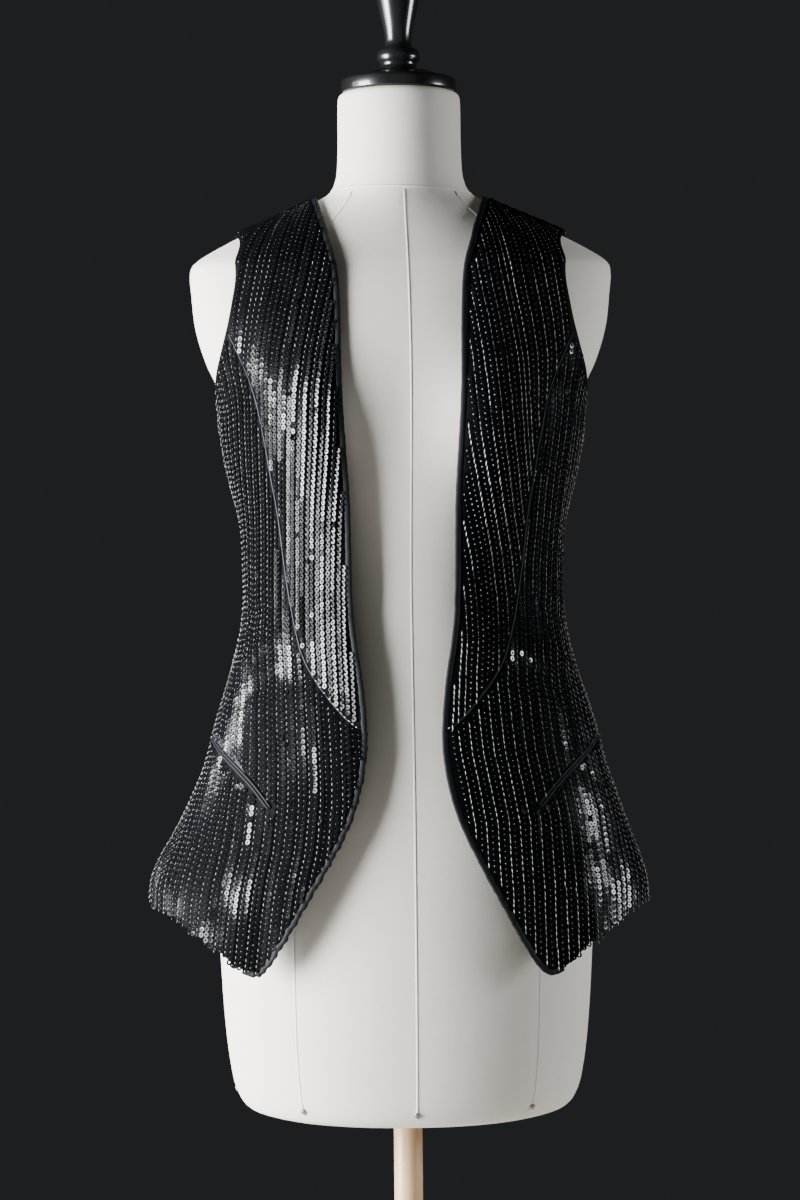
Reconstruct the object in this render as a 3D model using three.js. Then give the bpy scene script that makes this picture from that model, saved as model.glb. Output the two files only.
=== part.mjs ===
// A fitted sequin waistcoat, open at the front, on a limbless dress form with a turned wooden stand.
// Millimetres, +Z up. The origin is the middle of the base's underside. The waistcoat faces -Y,
// and its wearer's left is +X.
//
// Form and cloth share one set of horizontal sections. A place on either is an angle round the pole
// (0 at the centre front, 90 at the wearer's left side, 180 at the centre back) and a height.
import * as THREE from 'three';

// ---- Driving dimensions ----------------------------------------------------------------------

const CLOTH = 1.8; // sequinned cloth with its net backing
const SEAM_GAP = 0.36; // between pieces sewn edge to edge
const LAID_GAP = 0.6; // between a panel and what lies on it

// The form: half width, depth in front of and behind the pole's axis, and how full the section's
// corners are (2 is an ellipse, more is squarer, less is a sharper ridge).
const FORM_SECTIONS = [
  { z: 486, half: 139, front: 96, back: 100, full: 2.2 },
  { z: 489, half: 147, front: 104, back: 108, full: 2.2 },
  { z: 496, half: 152.5, front: 110, back: 114, full: 2.2 },
  { z: 510, half: 157.5, front: 114.5, back: 119, full: 2.2 },
  { z: 553, half: 163.5, front: 118, back: 123, full: 2.2 },
  { z: 625, half: 168, front: 119, back: 127, full: 2.2 },
  { z: 700, half: 170, front: 118, back: 129, full: 2.2 },
  { z: 765, half: 167, front: 115.5, back: 125, full: 2.2 },
  { z: 820, half: 158, front: 111, back: 113, full: 2.15 },
  { z: 880, half: 141, front: 104, back: 95, full: 2.1 },
  { z: 935, half: 128, front: 98, back: 82, full: 2.1 },
  { z: 965, half: 126, front: 97, back: 80, full: 2.1 },
  { z: 1010, half: 132, front: 101, back: 86, full: 2.15 },
  { z: 1055, half: 143, front: 110, back: 94, full: 2.25 },
  { z: 1095, half: 152, front: 117, back: 100, full: 2.35 },
  { z: 1120, half: 158, front: 118.5, back: 103, full: 2.4 },
  { z: 1136, half: 165, front: 118.5, back: 105, full: 2.4 },
  { z: 1155, half: 174, front: 117, back: 106, full: 2.4 },
  { z: 1185, half: 183, front: 112, back: 106, full: 2.35 },
  { z: 1215, half: 186.5, front: 103, back: 103, full: 2.3 },
  { z: 1238, half: 187.5, front: 94, back: 99, full: 2.2 },
  { z: 1247, half: 180, front: 89, back: 95, full: 2.1 },
  { z: 1267.5, half: 143, front: 77, back: 83, full: 1.9 },
  { z: 1284.5, half: 106, front: 67, back: 71, full: 1.75 },
  { z: 1299, half: 73.5, front: 59.5, back: 62, full: 1.8 },
  { z: 1304, half: 65, front: 57.5, back: 58.5, full: 1.95 },
  { z: 1310, half: 60, front: 56, back: 56, full: 2 },
  { z: 1320, half: 56.5, front: 55.2, back: 55.2, full: 2 },
  { z: 1345, half: 55, front: 55, back: 55, full: 2 },
  { z: 1387, half: 54.5, front: 54.5, back: 54.5, full: 2 },
  { z: 1392, half: 53, front: 53, back: 53, full: 2 },
  { z: 1394, half: 50, front: 50, back: 50, full: 2 },
];

// The fullness of the bust, on form and cloth alike: how far it swells forward at its peak. Below the
// peak the cloth hangs from it, so that there its swell reaches further down.
const BUST = { angle: 38, z: 1104, forward: 17, spread: 19, rise: 50, hang: 82 };

// The room between the form and the inside of the cloth, and how far its sides hang over to one
// side.
const CLOTH_EASE = [
  { z: 620, side: 54, front: 17.5, back: 46, aside: -6 },
  { z: 673, side: 50.5, front: 16.5, back: 42, aside: -7 },
  { z: 690, side: 49, front: 16, back: 39, aside: -7 },
  { z: 708, side: 43.5, front: 15.5, back: 35, aside: -6 },
  { z: 733, side: 33, front: 14.5, back: 29, aside: -3.5 },
  { z: 761, side: 23.5, front: 14, back: 23, aside: -1.5 },
  { z: 797, side: 15, front: 13.5, back: 17, aside: 0 },
  { z: 851, side: 13, front: 14, back: 13.5, aside: 0 },
  { z: 906, side: 12.5, front: 15.5, back: 13.5, aside: 0 },
  { z: 965, side: 15.5, front: 16.5, back: 14, aside: 0 },
  { z: 1016, side: 11.5, front: 14, back: 11, aside: 0 },
  { z: 1088, side: 10.5, front: 7.5, back: 5, aside: 0 },
  { z: 1118, side: 6, front: 4, back: 3.5, aside: 0 },
  { z: 1160, side: 3.5, front: 3, back: 4, aside: 0 },
  { z: 1210, side: 4, front: 3.2, back: 5.5, aside: 0 },
  { z: 1245, side: 6.5, front: 4.5, back: 8.5, aside: 0 },
  { z: 1304, side: 5, front: 4, back: 6.5, aside: 0 },
];

// Soft flutes of the flared skirt: a ridge stands out by its depth and a trough is a negative one.
// Each fades out upwards from the hem to its top.
const FLUTES = [
  { angle: -173, depth: 4, spread: 7, top: 850 },
  { angle: -152, depth: -5, spread: 8, top: 870 },
  { angle: -131, depth: 6, spread: 8, top: 840 },
  { angle: -111, depth: -5, spread: 7, top: 820 },
  { angle: -92, depth: 3.5, spread: 6, top: 800 },
  { angle: -76, depth: -4, spread: 6, top: 790 },
  { angle: -61, depth: 4.5, spread: 6, top: 800 },
  { angle: -47, depth: -3.5, spread: 5, top: 780 },
  { angle: 45, depth: -3, spread: 5, top: 790 },
  { angle: 59, depth: 4, spread: 6, top: 780 },
  { angle: 74, depth: -4.5, spread: 6, top: 800 },
  { angle: 90, depth: 4, spread: 6, top: 810 },
  { angle: 110, depth: -5.5, spread: 7, top: 830 },
  { angle: 129, depth: 5.5, spread: 7, top: 860 },
  { angle: 149, depth: -5, spread: 7, top: 850 },
  { angle: 169, depth: 4.5, spread: 8, top: 870 },
];
const HEM_HEIGHT = 640; // where the flutes are at full depth

// Front edge from the neck point down, round the point of the front to the start of the hem:
// distance out from the centre line, as seen from the front.
const FRONT_EDGE = [
  { x: 73.5, z: 1300.5 },
  { x: 68.5, z: 1285 },
  { x: 61.5, z: 1262 },
  { x: 54, z: 1231 },
  { x: 51.5, z: 1190 },
  { x: 50.5, z: 1130 },
  { x: 47.5, z: 1076 },
  { x: 45, z: 1033 },
  { x: 44.3, z: 981 },
  { x: 43.5, z: 940 },
  { x: 40.5, z: 912 },
  { x: 35.5, z: 879 },
  { x: 32.3, z: 845 },
  { x: 32.3, z: 818 },
  { x: 37, z: 787 },
  { x: 46.5, z: 756 },
  { x: 62, z: 723 },
  { x: 80, z: 688.5 },
  { x: 98, z: 655 },
  { x: 108.5, z: 637.5 },
  { x: 116.5, z: 627 },
  { x: 126, z: 623 },
  { x: 136, z: 626 },
];
const FRONT_POINT = 21; // the row at the lowest point of the front

// Princess seam, from the front edge up to the armhole, as seen from the front.
const PRINCESS_SEAM = [
  { x: 40.5, z: 838.5 },
  { x: 51, z: 847.5 },
  { x: 62, z: 860 },
  { x: 75, z: 877 },
  { x: 85.5, z: 896 },
  { x: 91, z: 914 },
  { x: 97.5, z: 946 },
  { x: 102.5, z: 981 },
  { x: 106.5, z: 1018 },
  { x: 111.5, z: 1050 },
  { x: 117, z: 1085 },
  { x: 124, z: 1118 },
  { x: 133.5, z: 1146 },
  { x: 150.5, z: 1182 },
];

// Armhole, once round: shoulder tip, down the front, under the arm and up the back.
const ARMHOLE = [
  { angle: 90, z: 1269 },
  { angle: 76, z: 1263 },
  { angle: 67.5, z: 1251 },
  { angle: 62.7, z: 1232 },
  { angle: 61.8, z: 1207 },
  { angle: 62.7, z: 1182 },
  { angle: 66, z: 1160 },
  { angle: 71, z: 1144 },
  { angle: 80, z: 1127 },
  { angle: 90, z: 1118.5 },
  { angle: 97, z: 1117 },
  { angle: 103.5, z: 1123 },
  { angle: 109, z: 1134 },
  { angle: 113, z: 1149 },
  { angle: 116, z: 1170 },
  { angle: 117.5, z: 1193 },
  { angle: 117.5, z: 1216 },
  { angle: 115.5, z: 1237 },
  { angle: 110.5, z: 1253 },
  { angle: 102, z: 1263.5 },
  { angle: 90, z: 1269 },
];
const ARMHOLE_PRINCESS = 5; // the row where the princess seam meets the armhole
const ARMHOLE_SIDE = 10; // the row at the top of the side seam

// Hem, from the end of the front binding round to the centre back.
const HEM = [
  { angle: 48.7, z: 626.9 },
  { angle: 51.1, z: 629.8 },
  { angle: 53.4, z: 633.8 },
  { angle: 55.6, z: 641.5 },
  { angle: 58.4, z: 649.3 },
  { angle: 63, z: 657.5 },
  { angle: 70, z: 665.5 },
  { angle: 81, z: 672.5 },
  { angle: 97, z: 675 },
  { angle: 125, z: 673 },
  { angle: 152, z: 670 },
  { angle: 180, z: 669 },
];
const HEM_SIDE = 8; // the row at the foot of the side seam

// Back of the neck, from the top of the front edge to the centre back.
const NECKLINE = [
  { angle: 80.5, z: 1300.5 },
  { angle: 115, z: 1297 },
  { angle: 145, z: 1290.5 },
  { angle: 180, z: 1287 },
];

const BINDING = { width: 3.8, thickness: 2.6, endSteps: 3, topShare: 0.0016 };

// Jetted pocket mouth, from its outer end by the side to its inner end, as seen from the front.
const POCKET = [
  { x: 170.5, z: 820.5 },
  { x: 160, z: 811 },
  { x: 145, z: 799 },
  { x: 130, z: 785.5 },
  { x: 115, z: 768.5 },
];
const WELT = { width: 5, thickness: 1.2, steps: 14 };

// Neck cap and knob, turned in one: radius and height above the cap's underside.
const CAP_PROFILE = [
  { radius: 0, rise: 0 },
  { radius: 49.5, rise: 0 },
  { radius: 51.5, rise: 2.5 },
  { radius: 51.5, rise: 9.5 },
  { radius: 48.5, rise: 12.5 },
  { radius: 36, rise: 15 },
  { radius: 32, rise: 17.5 },
  { radius: 19.5, rise: 19 },
  { radius: 16.5, rise: 22 },
  { radius: 16, rise: 26 },
  { radius: 18.8, rise: 29.5 },
  { radius: 19, rise: 34 },
  { radius: 17.5, rise: 38 },
  { radius: 12.8, rise: 41 },
  { radius: 11.8, rise: 46 },
  { radius: 12.8, rise: 56 },
  { radius: 15.6, rise: 68 },
  { radius: 18.8, rise: 82 },
  { radius: 21.5, rise: 98 },
  { radius: 22.5, rise: 112 },
  { radius: 20.5, rise: 126 },
  { radius: 15.5, rise: 137 },
  { radius: 8, rise: 143.5 },
  { radius: 0, rise: 146 },
];
const POLE_RADIUS = 13;

// The round base, with its top edge broken, and the domed tacks along the form's lower edge.
const BASE_PROFILE = [
  { radius: 0, rise: 0 },
  { radius: 205, rise: 0 },
  { radius: 205, rise: 23 },
  { radius: 203, rise: 28 },
  { radius: 198, rise: 30 },
  { radius: 0, rise: 30 },
];
const TACK_PROFILE = [
  { radius: 0, rise: 0 },
  { radius: 3.2, rise: 0 },
  { radius: 2.6, rise: 1.1 },
  { radius: 1.3, rise: 1.65 },
  { radius: 0, rise: 1.8 },
];
const TACK_HEIGHT = 501;
const TACK_LIFT = -0.15; // from the form's curve, whose flat facets lie a little further in
const TACK_ANGLES = { front: 4, front_left: 52, side_left: 94, back_left: 138, back: -176,
  back_right: -130, side_right: -86, front_right: -44 };

// Grid steps of the cloth panels.
const STEPS = { princess: 15, armhole: 10, lowerEdge: 12, frontAcross: 6, sideAcross: 12, shoulder: 6,
  neck: 6 };
const ROUND_SIDES = { form: 40, cap: 32, base: 44, pole: 28, tack: 10 };
const FORM_RING_SPACING = 30; // sections further apart than this get one more between them

// ---- Sections and places ----------------------------------------------------------------------

const DEGREE = Math.PI / 180;

/** The value of a column at a height: cubic steps whose slopes come from the rows either side. */
function columnAt(rows, column, z) {
  const last = rows.length - 1;
  const height = Math.min(Math.max(z, rows[0].z), rows[last].z);
  let i = 0;
  while (i < last - 1 && height > rows[i + 1].z) i += 1;
  const rise = rows[i + 1].z - rows[i].z;
  const slope = (k) => {
    const below = rows[Math.max(k - 1, 0)];
    const above = rows[Math.min(k + 1, last)];
    return (above[column] - below[column]) / (above.z - below.z);
  };
  const t = (height - rows[i].z) / rise;
  const [t2, t3] = [t * t, t * t * t];
  return (2 * t3 - 3 * t2 + 1) * rows[i][column] + (t3 - 2 * t2 + t) * rise * slope(i)
    + (3 * t2 - 2 * t3) * rows[i + 1][column] + (t3 - t2) * rise * slope(i + 1);
}

const smooth = (t) => {
  const u = Math.min(Math.max(t, 0), 1);
  return u * u * (3 - 2 * u);
};

/** How far the flutes push the cloth out at a place. */
function fluteDepth(angle, z) {
  return FLUTES.reduce((sum, flute) => {
    const fade = smooth((flute.top - z) / (flute.top - HEM_HEIGHT));
    const away = ((angle - flute.angle + 540) % 360) - 180;
    return sum + flute.depth * fade * Math.exp(-((away / flute.spread) ** 2));
  }, 0);
}

/** A place's distance [out to the side, ahead] of the pole's axis, by the sections and flutes. */
function planAt(angle, z, isCloth) {
  const [across, ahead] = [Math.sin(angle * DEGREE), Math.cos(angle * DEGREE)];
  const size = (column, ease) => columnAt(FORM_SECTIONS, column, z)
    + (isCloth ? columnAt(CLOTH_EASE, ease, z) : 0);
  const half = size('half', 'side');
  const depth = ahead > 0 ? size('front', 'front') : size('back', 'back');
  const full = columnAt(FORM_SECTIONS, 'full', z);
  const reach = (Math.abs(across) / half) ** full + (Math.abs(ahead) / depth) ** full;
  const radius = reach ** (-1 / full) + (isCloth ? fluteDepth(angle, z) : 0);
  return [radius * across, radius * ahead];
}

/** A point on the form or on the inside of the cloth, by angle in degrees and height. */
function pointAt(angle, z, isCloth) {
  const [outward, ahead] = planAt(angle, z, isCloth);
  const aroundBust = (Math.abs(angle) - BUST.angle) / BUST.spread;
  const upBust = (z - BUST.z) / (isCloth && z < BUST.z ? BUST.hang : BUST.rise);
  const bust = BUST.forward * Math.exp(-(aroundBust ** 2) - upBust ** 2);
  const aside = isCloth ? columnAt(CLOTH_EASE, 'aside', z) * Math.sin(angle * DEGREE) ** 2 : 0;
  return new THREE.Vector3(outward + aside, -ahead - bust, z);
}

/** The angle at which the cloth of the left front stands a distance x out from the centre line. */
function angleOut(x, z) {
  let [near, far] = [0, 90];
  for (let i = 0; i < 40; i += 1) {
    const middle = (near + far) / 2;
    if (pointAt(middle, z, true).x < x) near = middle;
    else far = middle;
  }
  return (near + far) / 2;
}

/** The cloth's outward direction at a place, from four places close round it. */
function outwardAt(angle, z) {
  const [turn, climb] = [0.8, 1.5];
  const around = pointAt(angle + turn, z, true).sub(pointAt(angle - turn, z, true));
  const upward = pointAt(angle, z + climb, true).sub(pointAt(angle, z - climb, true));
  return around.cross(upward).normalize();
}

// ---- Seams and edges, as curves of places [angle, height] --------------------------------------

/** A smooth curve through rows of a table, over part of its length; u runs from 0 to 1. */
function curveThrough(rows, column, first, last) {
  const spline = new THREE.SplineCurve(rows.map((row) => new THREE.Vector2(row[column], row.z)));
  const end = rows.length - 1;
  return (u) => spline.getPoint((first + (last - first) * u) / end);
}

/** The same, for a table given by the distance out from the centre line. */
function curveOut(rows, first, last) {
  const curve = curveThrough(rows, 'x', first, last);
  return (u) => {
    const { x, y: z } = curve(u);
    return [angleOut(x, z), z];
  };
}

function curveByAngle(rows, first, last) {
  const curve = curveThrough(rows, 'angle', first, last);
  return (u) => curve(u).toArray();
}

const straight = (from, to) => (u) => [from[0] + (to[0] - from[0]) * u, from[1] + (to[1] - from[1]) * u];

/** One curve after another, each taking its share of u. */
function inTurn(firstCurve, secondCurve, share) {
  return (u) => (u < share ? firstCurve(u / share) : secondCurve((u - share) / (1 - share)));
}

/** Evenly spaced shares from one value to another, both included. */
function evenShares(from, to, steps) {
  return Array.from({ length: steps + 1 }, (_, i) => from + ((to - from) * i) / steps);
}

/** Where a curve runs: its point, and the outward and sideways directions there. */
function frameOn(curve, u) {
  const step = 0.002;
  const here = pointAt(...curve(u), true);
  const ahead = pointAt(...curve(Math.min(u + step, 1)), true);
  const behind = pointAt(...curve(Math.max(u - step, 0)), true);
  const outward = outwardAt(...curve(u));
  const sideways = outward.clone().cross(ahead.sub(behind)).normalize();
  return { here, outward, sideways };
}

/** The place a distance to the side of a curve on the front, along the cloth. */
function besideCurve(curve, distance) {
  return (u) => {
    const { here, sideways } = frameOn(curve, u);
    here.addScaledVector(sideways, distance);
    return [angleOut(here.x, here.z), here.z];
  };
}

// ---- Solids ------------------------------------------------------------------------------------

/** A closed solid from rings of equal length, capped by a fan at each end. */
function solidFromRings(rings) {
  const sides = rings[0].length;
  const middle = (ring) => ring.reduce((sum, point) => sum.add(point), new THREE.Vector3())
    .divideScalar(ring.length);
  const points = [...rings.flat(), middle(rings[0]), middle(rings.at(-1))];
  const faces = [];
  for (let i = 0; i < rings.length - 1; i += 1) {
    for (let j = 0; j < sides; j += 1) {
      const [a, b] = [i * sides + j, i * sides + ((j + 1) % sides)];
      faces.push(a, b, b + sides, a, b + sides, a + sides);
    }
  }
  const [bottom, top] = [points.length - 2, points.length - 1];
  const lastRing = (rings.length - 1) * sides;
  for (let j = 0; j < sides; j += 1) {
    const next = (j + 1) % sides;
    faces.push(bottom, next, j, top, lastRing + j, lastRing + next);
  }
  return closedGeometry(points, faces);
}

/** A closed wall of cloth between an inner and an outer grid of points. */
function solidFromWall(inner, outer) {
  const [rows, columns] = [inner.length, inner[0].length];
  const points = [...inner.flat(), ...outer.flat()];
  const at = (layer, i, j) => layer * rows * columns + i * columns + j;
  const faces = [];
  const quad = (a, b, c, d) => {
    const isSplitAcross = points[a].distanceTo(points[c]) > points[b].distanceTo(points[d]);
    faces.push(...(isSplitAcross ? [a, b, d, b, c, d] : [a, b, c, a, c, d]));
  };
  for (let i = 0; i < rows - 1; i += 1) {
    for (let j = 0; j < columns - 1; j += 1) {
      quad(at(1, i, j), at(1, i, j + 1), at(1, i + 1, j + 1), at(1, i + 1, j));
      quad(at(0, i, j), at(0, i + 1, j), at(0, i + 1, j + 1), at(0, i, j + 1));
    }
  }
  const rim = [];
  for (let j = 0; j < columns - 1; j += 1) rim.push([0, j]);
  for (let i = 0; i < rows - 1; i += 1) rim.push([i, columns - 1]);
  for (let j = columns - 1; j > 0; j -= 1) rim.push([rows - 1, j]);
  for (let i = rows - 1; i > 0; i -= 1) rim.push([i, 0]);
  rim.forEach(([i, j], k) => {
    const [nextI, nextJ] = rim[(k + 1) % rim.length];
    quad(at(0, i, j), at(0, nextI, nextJ), at(1, nextI, nextJ), at(1, i, j));
  });
  return closedGeometry(points, faces);
}

/** A geometry with its faces turned outwards. */
function closedGeometry(points, faces) {
  let volume = 0;
  for (let i = 0; i < faces.length; i += 3) {
    const [a, b, c] = [points[faces[i]], points[faces[i + 1]], points[faces[i + 2]]];
    volume += a.dot(b.clone().cross(c));
  }
  if (volume < 0) faces.reverse();
  const geometry = new THREE.BufferGeometry().setFromPoints(points);
  geometry.setIndex(faces);
  return geometry;
}

/** Moves a grid's outermost points inwards along the cloth, to leave half a seam gap. */
function openSeams(grid) {
  const [rows, columns] = [grid.length, grid[0].length];
  const moved = grid.map((row) => row.map((point) => point.clone()));
  const pull = (i, j, inI, inJ, alongI, alongJ) => {
    const step = new THREE.Vector3().subVectors(grid[inI][inJ], grid[i][j]);
    const before = grid[Math.max(i - alongI, 0)][Math.max(j - alongJ, 0)];
    const after = grid[Math.min(i + alongI, rows - 1)][Math.min(j + alongJ, columns - 1)];
    const along = new THREE.Vector3().subVectors(after, before).normalize();
    step.addScaledVector(along, -step.dot(along)).setLength(SEAM_GAP / 2);
    moved[i][j].add(step);
  };
  for (let i = 0; i < rows; i += 1) {
    pull(i, 0, i, 1, 1, 0);
    pull(i, columns - 1, i, columns - 2, 1, 0);
  }
  for (let j = 0; j < columns; j += 1) {
    pull(0, j, 1, j, 0, 1);
    pull(rows - 1, j, rows - 2, j, 0, 1);
  }
  return moved;
}

/**
 * The place inside four edge curves, where bottom and top run across and left and right run up. It
 * is blended from the opposite edges, in plan and in height.
 */
function placeInside({ bottom, top, left, right }, s, t) {
  const spread = ([angle, z]) => [...planAt(angle, z, true), z];
  const [low, high, near, far, ...corners] = [bottom(s), top(s), left(t), right(t), bottom(0),
    bottom(1), top(0), top(1)].map(spread);
  const blend = (k) => {
    const [a, b, c, d] = corners.map((corner) => corner[k]);
    return (1 - t) * low[k] + t * high[k] + (1 - s) * near[k] + s * far[k]
      - (1 - t) * ((1 - s) * a + s * b) - t * ((1 - s) * c + s * d);
  };
  return [Math.atan2(blend(0), blend(1)) / DEGREE, blend(2)];
}

/**
 * A panel of cloth from the place at each share of its way across and up. The side is 1 for the
 * wearer's left and -1 for the right, which has the same cut turned over.
 */
function clothPanel(placeAt, across, up, side) {
  const inner = [];
  const directions = [];
  for (let i = 0; i <= up; i += 1) {
    const places = evenShares(0, 1, across).map((s) => {
      const [angle, z] = placeAt(s, i / up);
      return [side * angle, z];
    });
    inner.push(places.map(([angle, z]) => pointAt(angle, z, true)));
    directions.push(places.map(([angle, z]) => outwardAt(angle, z)));
  }
  const opened = openSeams(inner);
  const outer = opened.map((row, i) => row.map(
    (point, j) => point.clone().addScaledVector(directions[i][j], CLOTH)));
  return solidFromWall(opened, outer);
}

/**
 * A narrow strip along a curve on the cloth, with a section at each of the shares of its length,
 * between two distances to the curve's side and two lifts off the inside of the cloth.
 */
function clothStrip(curve, shares, side, [near, far], [low, high]) {
  const turnedOver = (u) => {
    const [angle, z] = curve(u);
    return [side * angle, z];
  };
  return solidFromRings(shares.map((u) => {
    const { here, outward, sideways } = frameOn(turnedOver, u);
    const corner = (beside, lift) => here.clone()
      .addScaledVector(sideways, beside * side)
      .addScaledVector(outward, lift);
    return [corner(near, low), corner(far, low), corner(far, high), corner(near, high)];
  }));
}

// ---- The waistcoat -----------------------------------------------------------------------------

const sequinCloth = () => new THREE.MeshStandardMaterial({ color: 0x17181c, roughness: 0.32,
  metalness: 0.1 });
const satin = () => new THREE.MeshStandardMaterial({ color: 0x22252c, roughness: 0.45, metalness: 0 });

const frontEdge = curveOut(FRONT_EDGE, 0, FRONT_EDGE.length - 1);
const pointShare = FRONT_POINT / (FRONT_EDGE.length - 1);
const boundEdge = besideCurve(frontEdge, BINDING.width + SEAM_GAP / 2);
const princess = curveOut(PRINCESS_SEAM, 0, PRINCESS_SEAM.length - 1);
const frontSteps = STEPS.princess + STEPS.armhole;
const sideSteps = STEPS.lowerEdge + STEPS.princess;
const sideSeam = straight([HEM[HEM_SIDE].angle, HEM[HEM_SIDE].z],
  [ARMHOLE[ARMHOLE_SIDE].angle, ARMHOLE[ARMHOLE_SIDE].z]);

/** The share of the front edge, counted from the neck, at which it comes down to a height. */
function edgeShareAt(z) {
  let [above, below] = [0, pointShare];
  for (let i = 0; i < 40; i += 1) {
    const middle = (above + below) / 2;
    if (boundEdge(middle)[1] > z) above = middle;
    else below = middle;
  }
  return (above + below) / 2;
}
const princessShare = edgeShareAt(PRINCESS_SEAM[0].z);
const upperEdge = (u) => boundEdge(princessShare * (1 - u));
const lowerEdge = (u) => boundEdge(pointShare + (princessShare - pointShare) * u);

/** Centre front panel: bound edge to princess seam and armhole, up to the shoulder seam. */
function frontPanel(side) {
  const upperArmhole = curveByAngle(ARMHOLE, ARMHOLE_PRINCESS, 0);
  const right = inTurn(princess, upperArmhole, STEPS.princess / frontSteps);
  const edges = { left: upperEdge, right, bottom: straight(upperEdge(0), right(0)),
    top: straight(upperEdge(1), right(1)) };
  return clothPanel((s, t) => placeInside(edges, s, t), STEPS.frontAcross, frontSteps, side);
}

/** Side front panel: the side of the bodice and the whole pointed skirt front, in one piece. */
function sideFrontPanel(side) {
  const edges = { bottom: curveByAngle(HEM, 0, HEM_SIDE),
    top: curveByAngle(ARMHOLE, ARMHOLE_PRINCESS, ARMHOLE_SIDE),
    left: inTurn(lowerEdge, princess, STEPS.lowerEdge / sideSteps), right: sideSeam };
  return clothPanel((s, t) => placeInside(edges, s, t), STEPS.sideAcross, sideSteps, side);
}

/** Half of the back, from the side seam to the centre back seam, blended below and above the arm. */
function backPanel(side) {
  const up = sideSteps + STEPS.armhole;
  const across = STEPS.shoulder + STEPS.neck;
  const [tip, hemEnd, neckEnd] = [ARMHOLE.at(-1), HEM.at(-1), NECKLINE.at(-1)];
  const centre = (z) => [hemEnd.angle, z];
  const underarm = sideSeam(1)[1];
  const stretch = (neckEnd.z - underarm) / (tip.z - underarm);
  const shoulderSeam = straight([tip.angle, tip.z], boundEdge(0));
  const besideBinding = straight(boundEdge(0), [NECKLINE[0].angle, NECKLINE[0].z]);
  const shoulder = inTurn(shoulderSeam, besideBinding, 1 - 1 / STEPS.shoulder);
  const armhole = curveByAngle(ARMHOLE, ARMHOLE_SIDE, ARMHOLE.length - 1);
  const level = straight(sideSeam(1), centre(underarm));
  const lower = { bottom: curveByAngle(HEM, HEM_SIDE, HEM.length - 1), top: level, left: sideSeam,
    right: straight(centre(hemEnd.z), centre(underarm)) };
  const upper = { bottom: level, left: armhole,
    top: inTurn(shoulder, curveByAngle(NECKLINE, 0, NECKLINE.length - 1), STEPS.shoulder / across),
    right: (t) => centre(underarm + (armhole(t)[1] - underarm) * stretch) };
  const share = sideSteps / up;
  return clothPanel((s, t) => (t < share ? placeInside(lower, s, t / share)
    : placeInside(upper, s, (t - share) / (1 - share))), across, up, side);
}

/** Satin binding that wraps the front edge from the neck point round the point of the front. */
function frontBinding(side) {
  const low = (CLOTH - BINDING.thickness) / 2;
  const shares = [...evenShares(BINDING.topShare, princessShare, frontSteps),
    ...evenShares(princessShare, pointShare, STEPS.lowerEdge).slice(1),
    ...evenShares(pointShare, 1, BINDING.endSteps).slice(1)];
  return clothStrip(frontEdge, shares, side, [0, BINDING.width - SEAM_GAP / 2],
    [low, low + BINDING.thickness]);
}

/** Satin jets of the pocket mouth, laid on the side front panel. */
function pocketWelt(side) {
  const low = CLOTH + LAID_GAP;
  return clothStrip(curveOut(POCKET, 0, POCKET.length - 1), evenShares(0, 1, WELT.steps), side,
    [-WELT.width / 2, WELT.width / 2], [low, low + WELT.thickness]);
}

// ---- The form and its stand --------------------------------------------------------------------

const linen = () => new THREE.MeshStandardMaterial({ color: 0xe4e0d8, roughness: 0.9, metalness: 0 });
const lacquer = () => new THREE.MeshStandardMaterial({ color: 0x0b0b0c, roughness: 0.15, metalness: 0 });
const beech = () => new THREE.MeshStandardMaterial({ color: 0xc79a6b, roughness: 0.6, metalness: 0 });
const brass = () => new THREE.MeshStandardMaterial({ color: 0x6f6a60, roughness: 0.4, metalness: 0.9 });

/** The linen-covered form, hips to neck, in one closed body with a flat underside. */
function formBody() {
  const heights = FORM_SECTIONS.flatMap(({ z }, i) => {
    const next = FORM_SECTIONS[i + 1];
    return next && next.z - z > FORM_RING_SPACING ? [z, (z + next.z) / 2] : [z];
  });
  const turn = 360 / ROUND_SIDES.form;
  const ring = (z) => Array.from({ length: ROUND_SIDES.form },
    (_, j) => pointAt(j * turn - 180, z, false));
  return solidFromRings(heights.map(ring));
}

/** A turned piece from a table of radii up its length, which starts and ends on the axis. */
function turned(profile, sides) {
  const points = profile.map(({ radius, rise }) => new THREE.Vector2(radius, rise));
  return new THREE.LatheGeometry(points, sides).rotateX(Math.PI / 2);
}

/** The pole, from the base to the form's underside, in place. */
function standPole() {
  const bottom = BASE_PROFILE.at(-1).rise + SEAM_GAP;
  const top = FORM_SECTIONS[0].z - SEAM_GAP;
  return new THREE.CylinderGeometry(POLE_RADIUS, POLE_RADIUS, top - bottom, ROUND_SIDES.pole)
    .rotateX(Math.PI / 2).translate(0, 0, (top + bottom) / 2);
}

/** A domed tack, driven square to the form's surface. */
function tack(angle) {
  const z = TACK_HEIGHT;
  const around = pointAt(angle + 1, z, false).sub(pointAt(angle - 1, z, false));
  const upward = pointAt(angle, z + 2, false).sub(pointAt(angle, z - 2, false));
  const outward = around.cross(upward).normalize();
  const mesh = new THREE.Mesh(turned(TACK_PROFILE, ROUND_SIDES.tack), brass());
  mesh.position.copy(pointAt(angle, z, false).addScaledVector(outward, TACK_LIFT));
  mesh.quaternion.setFromUnitVectors(new THREE.Vector3(0, 0, 1), outward);
  return mesh;
}

// ---- The part ----------------------------------------------------------------------------------

const group = new THREE.Group();

function addPiece(name, mesh) {
  mesh.name = name;
  group.add(mesh);
  return mesh;
}

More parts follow.
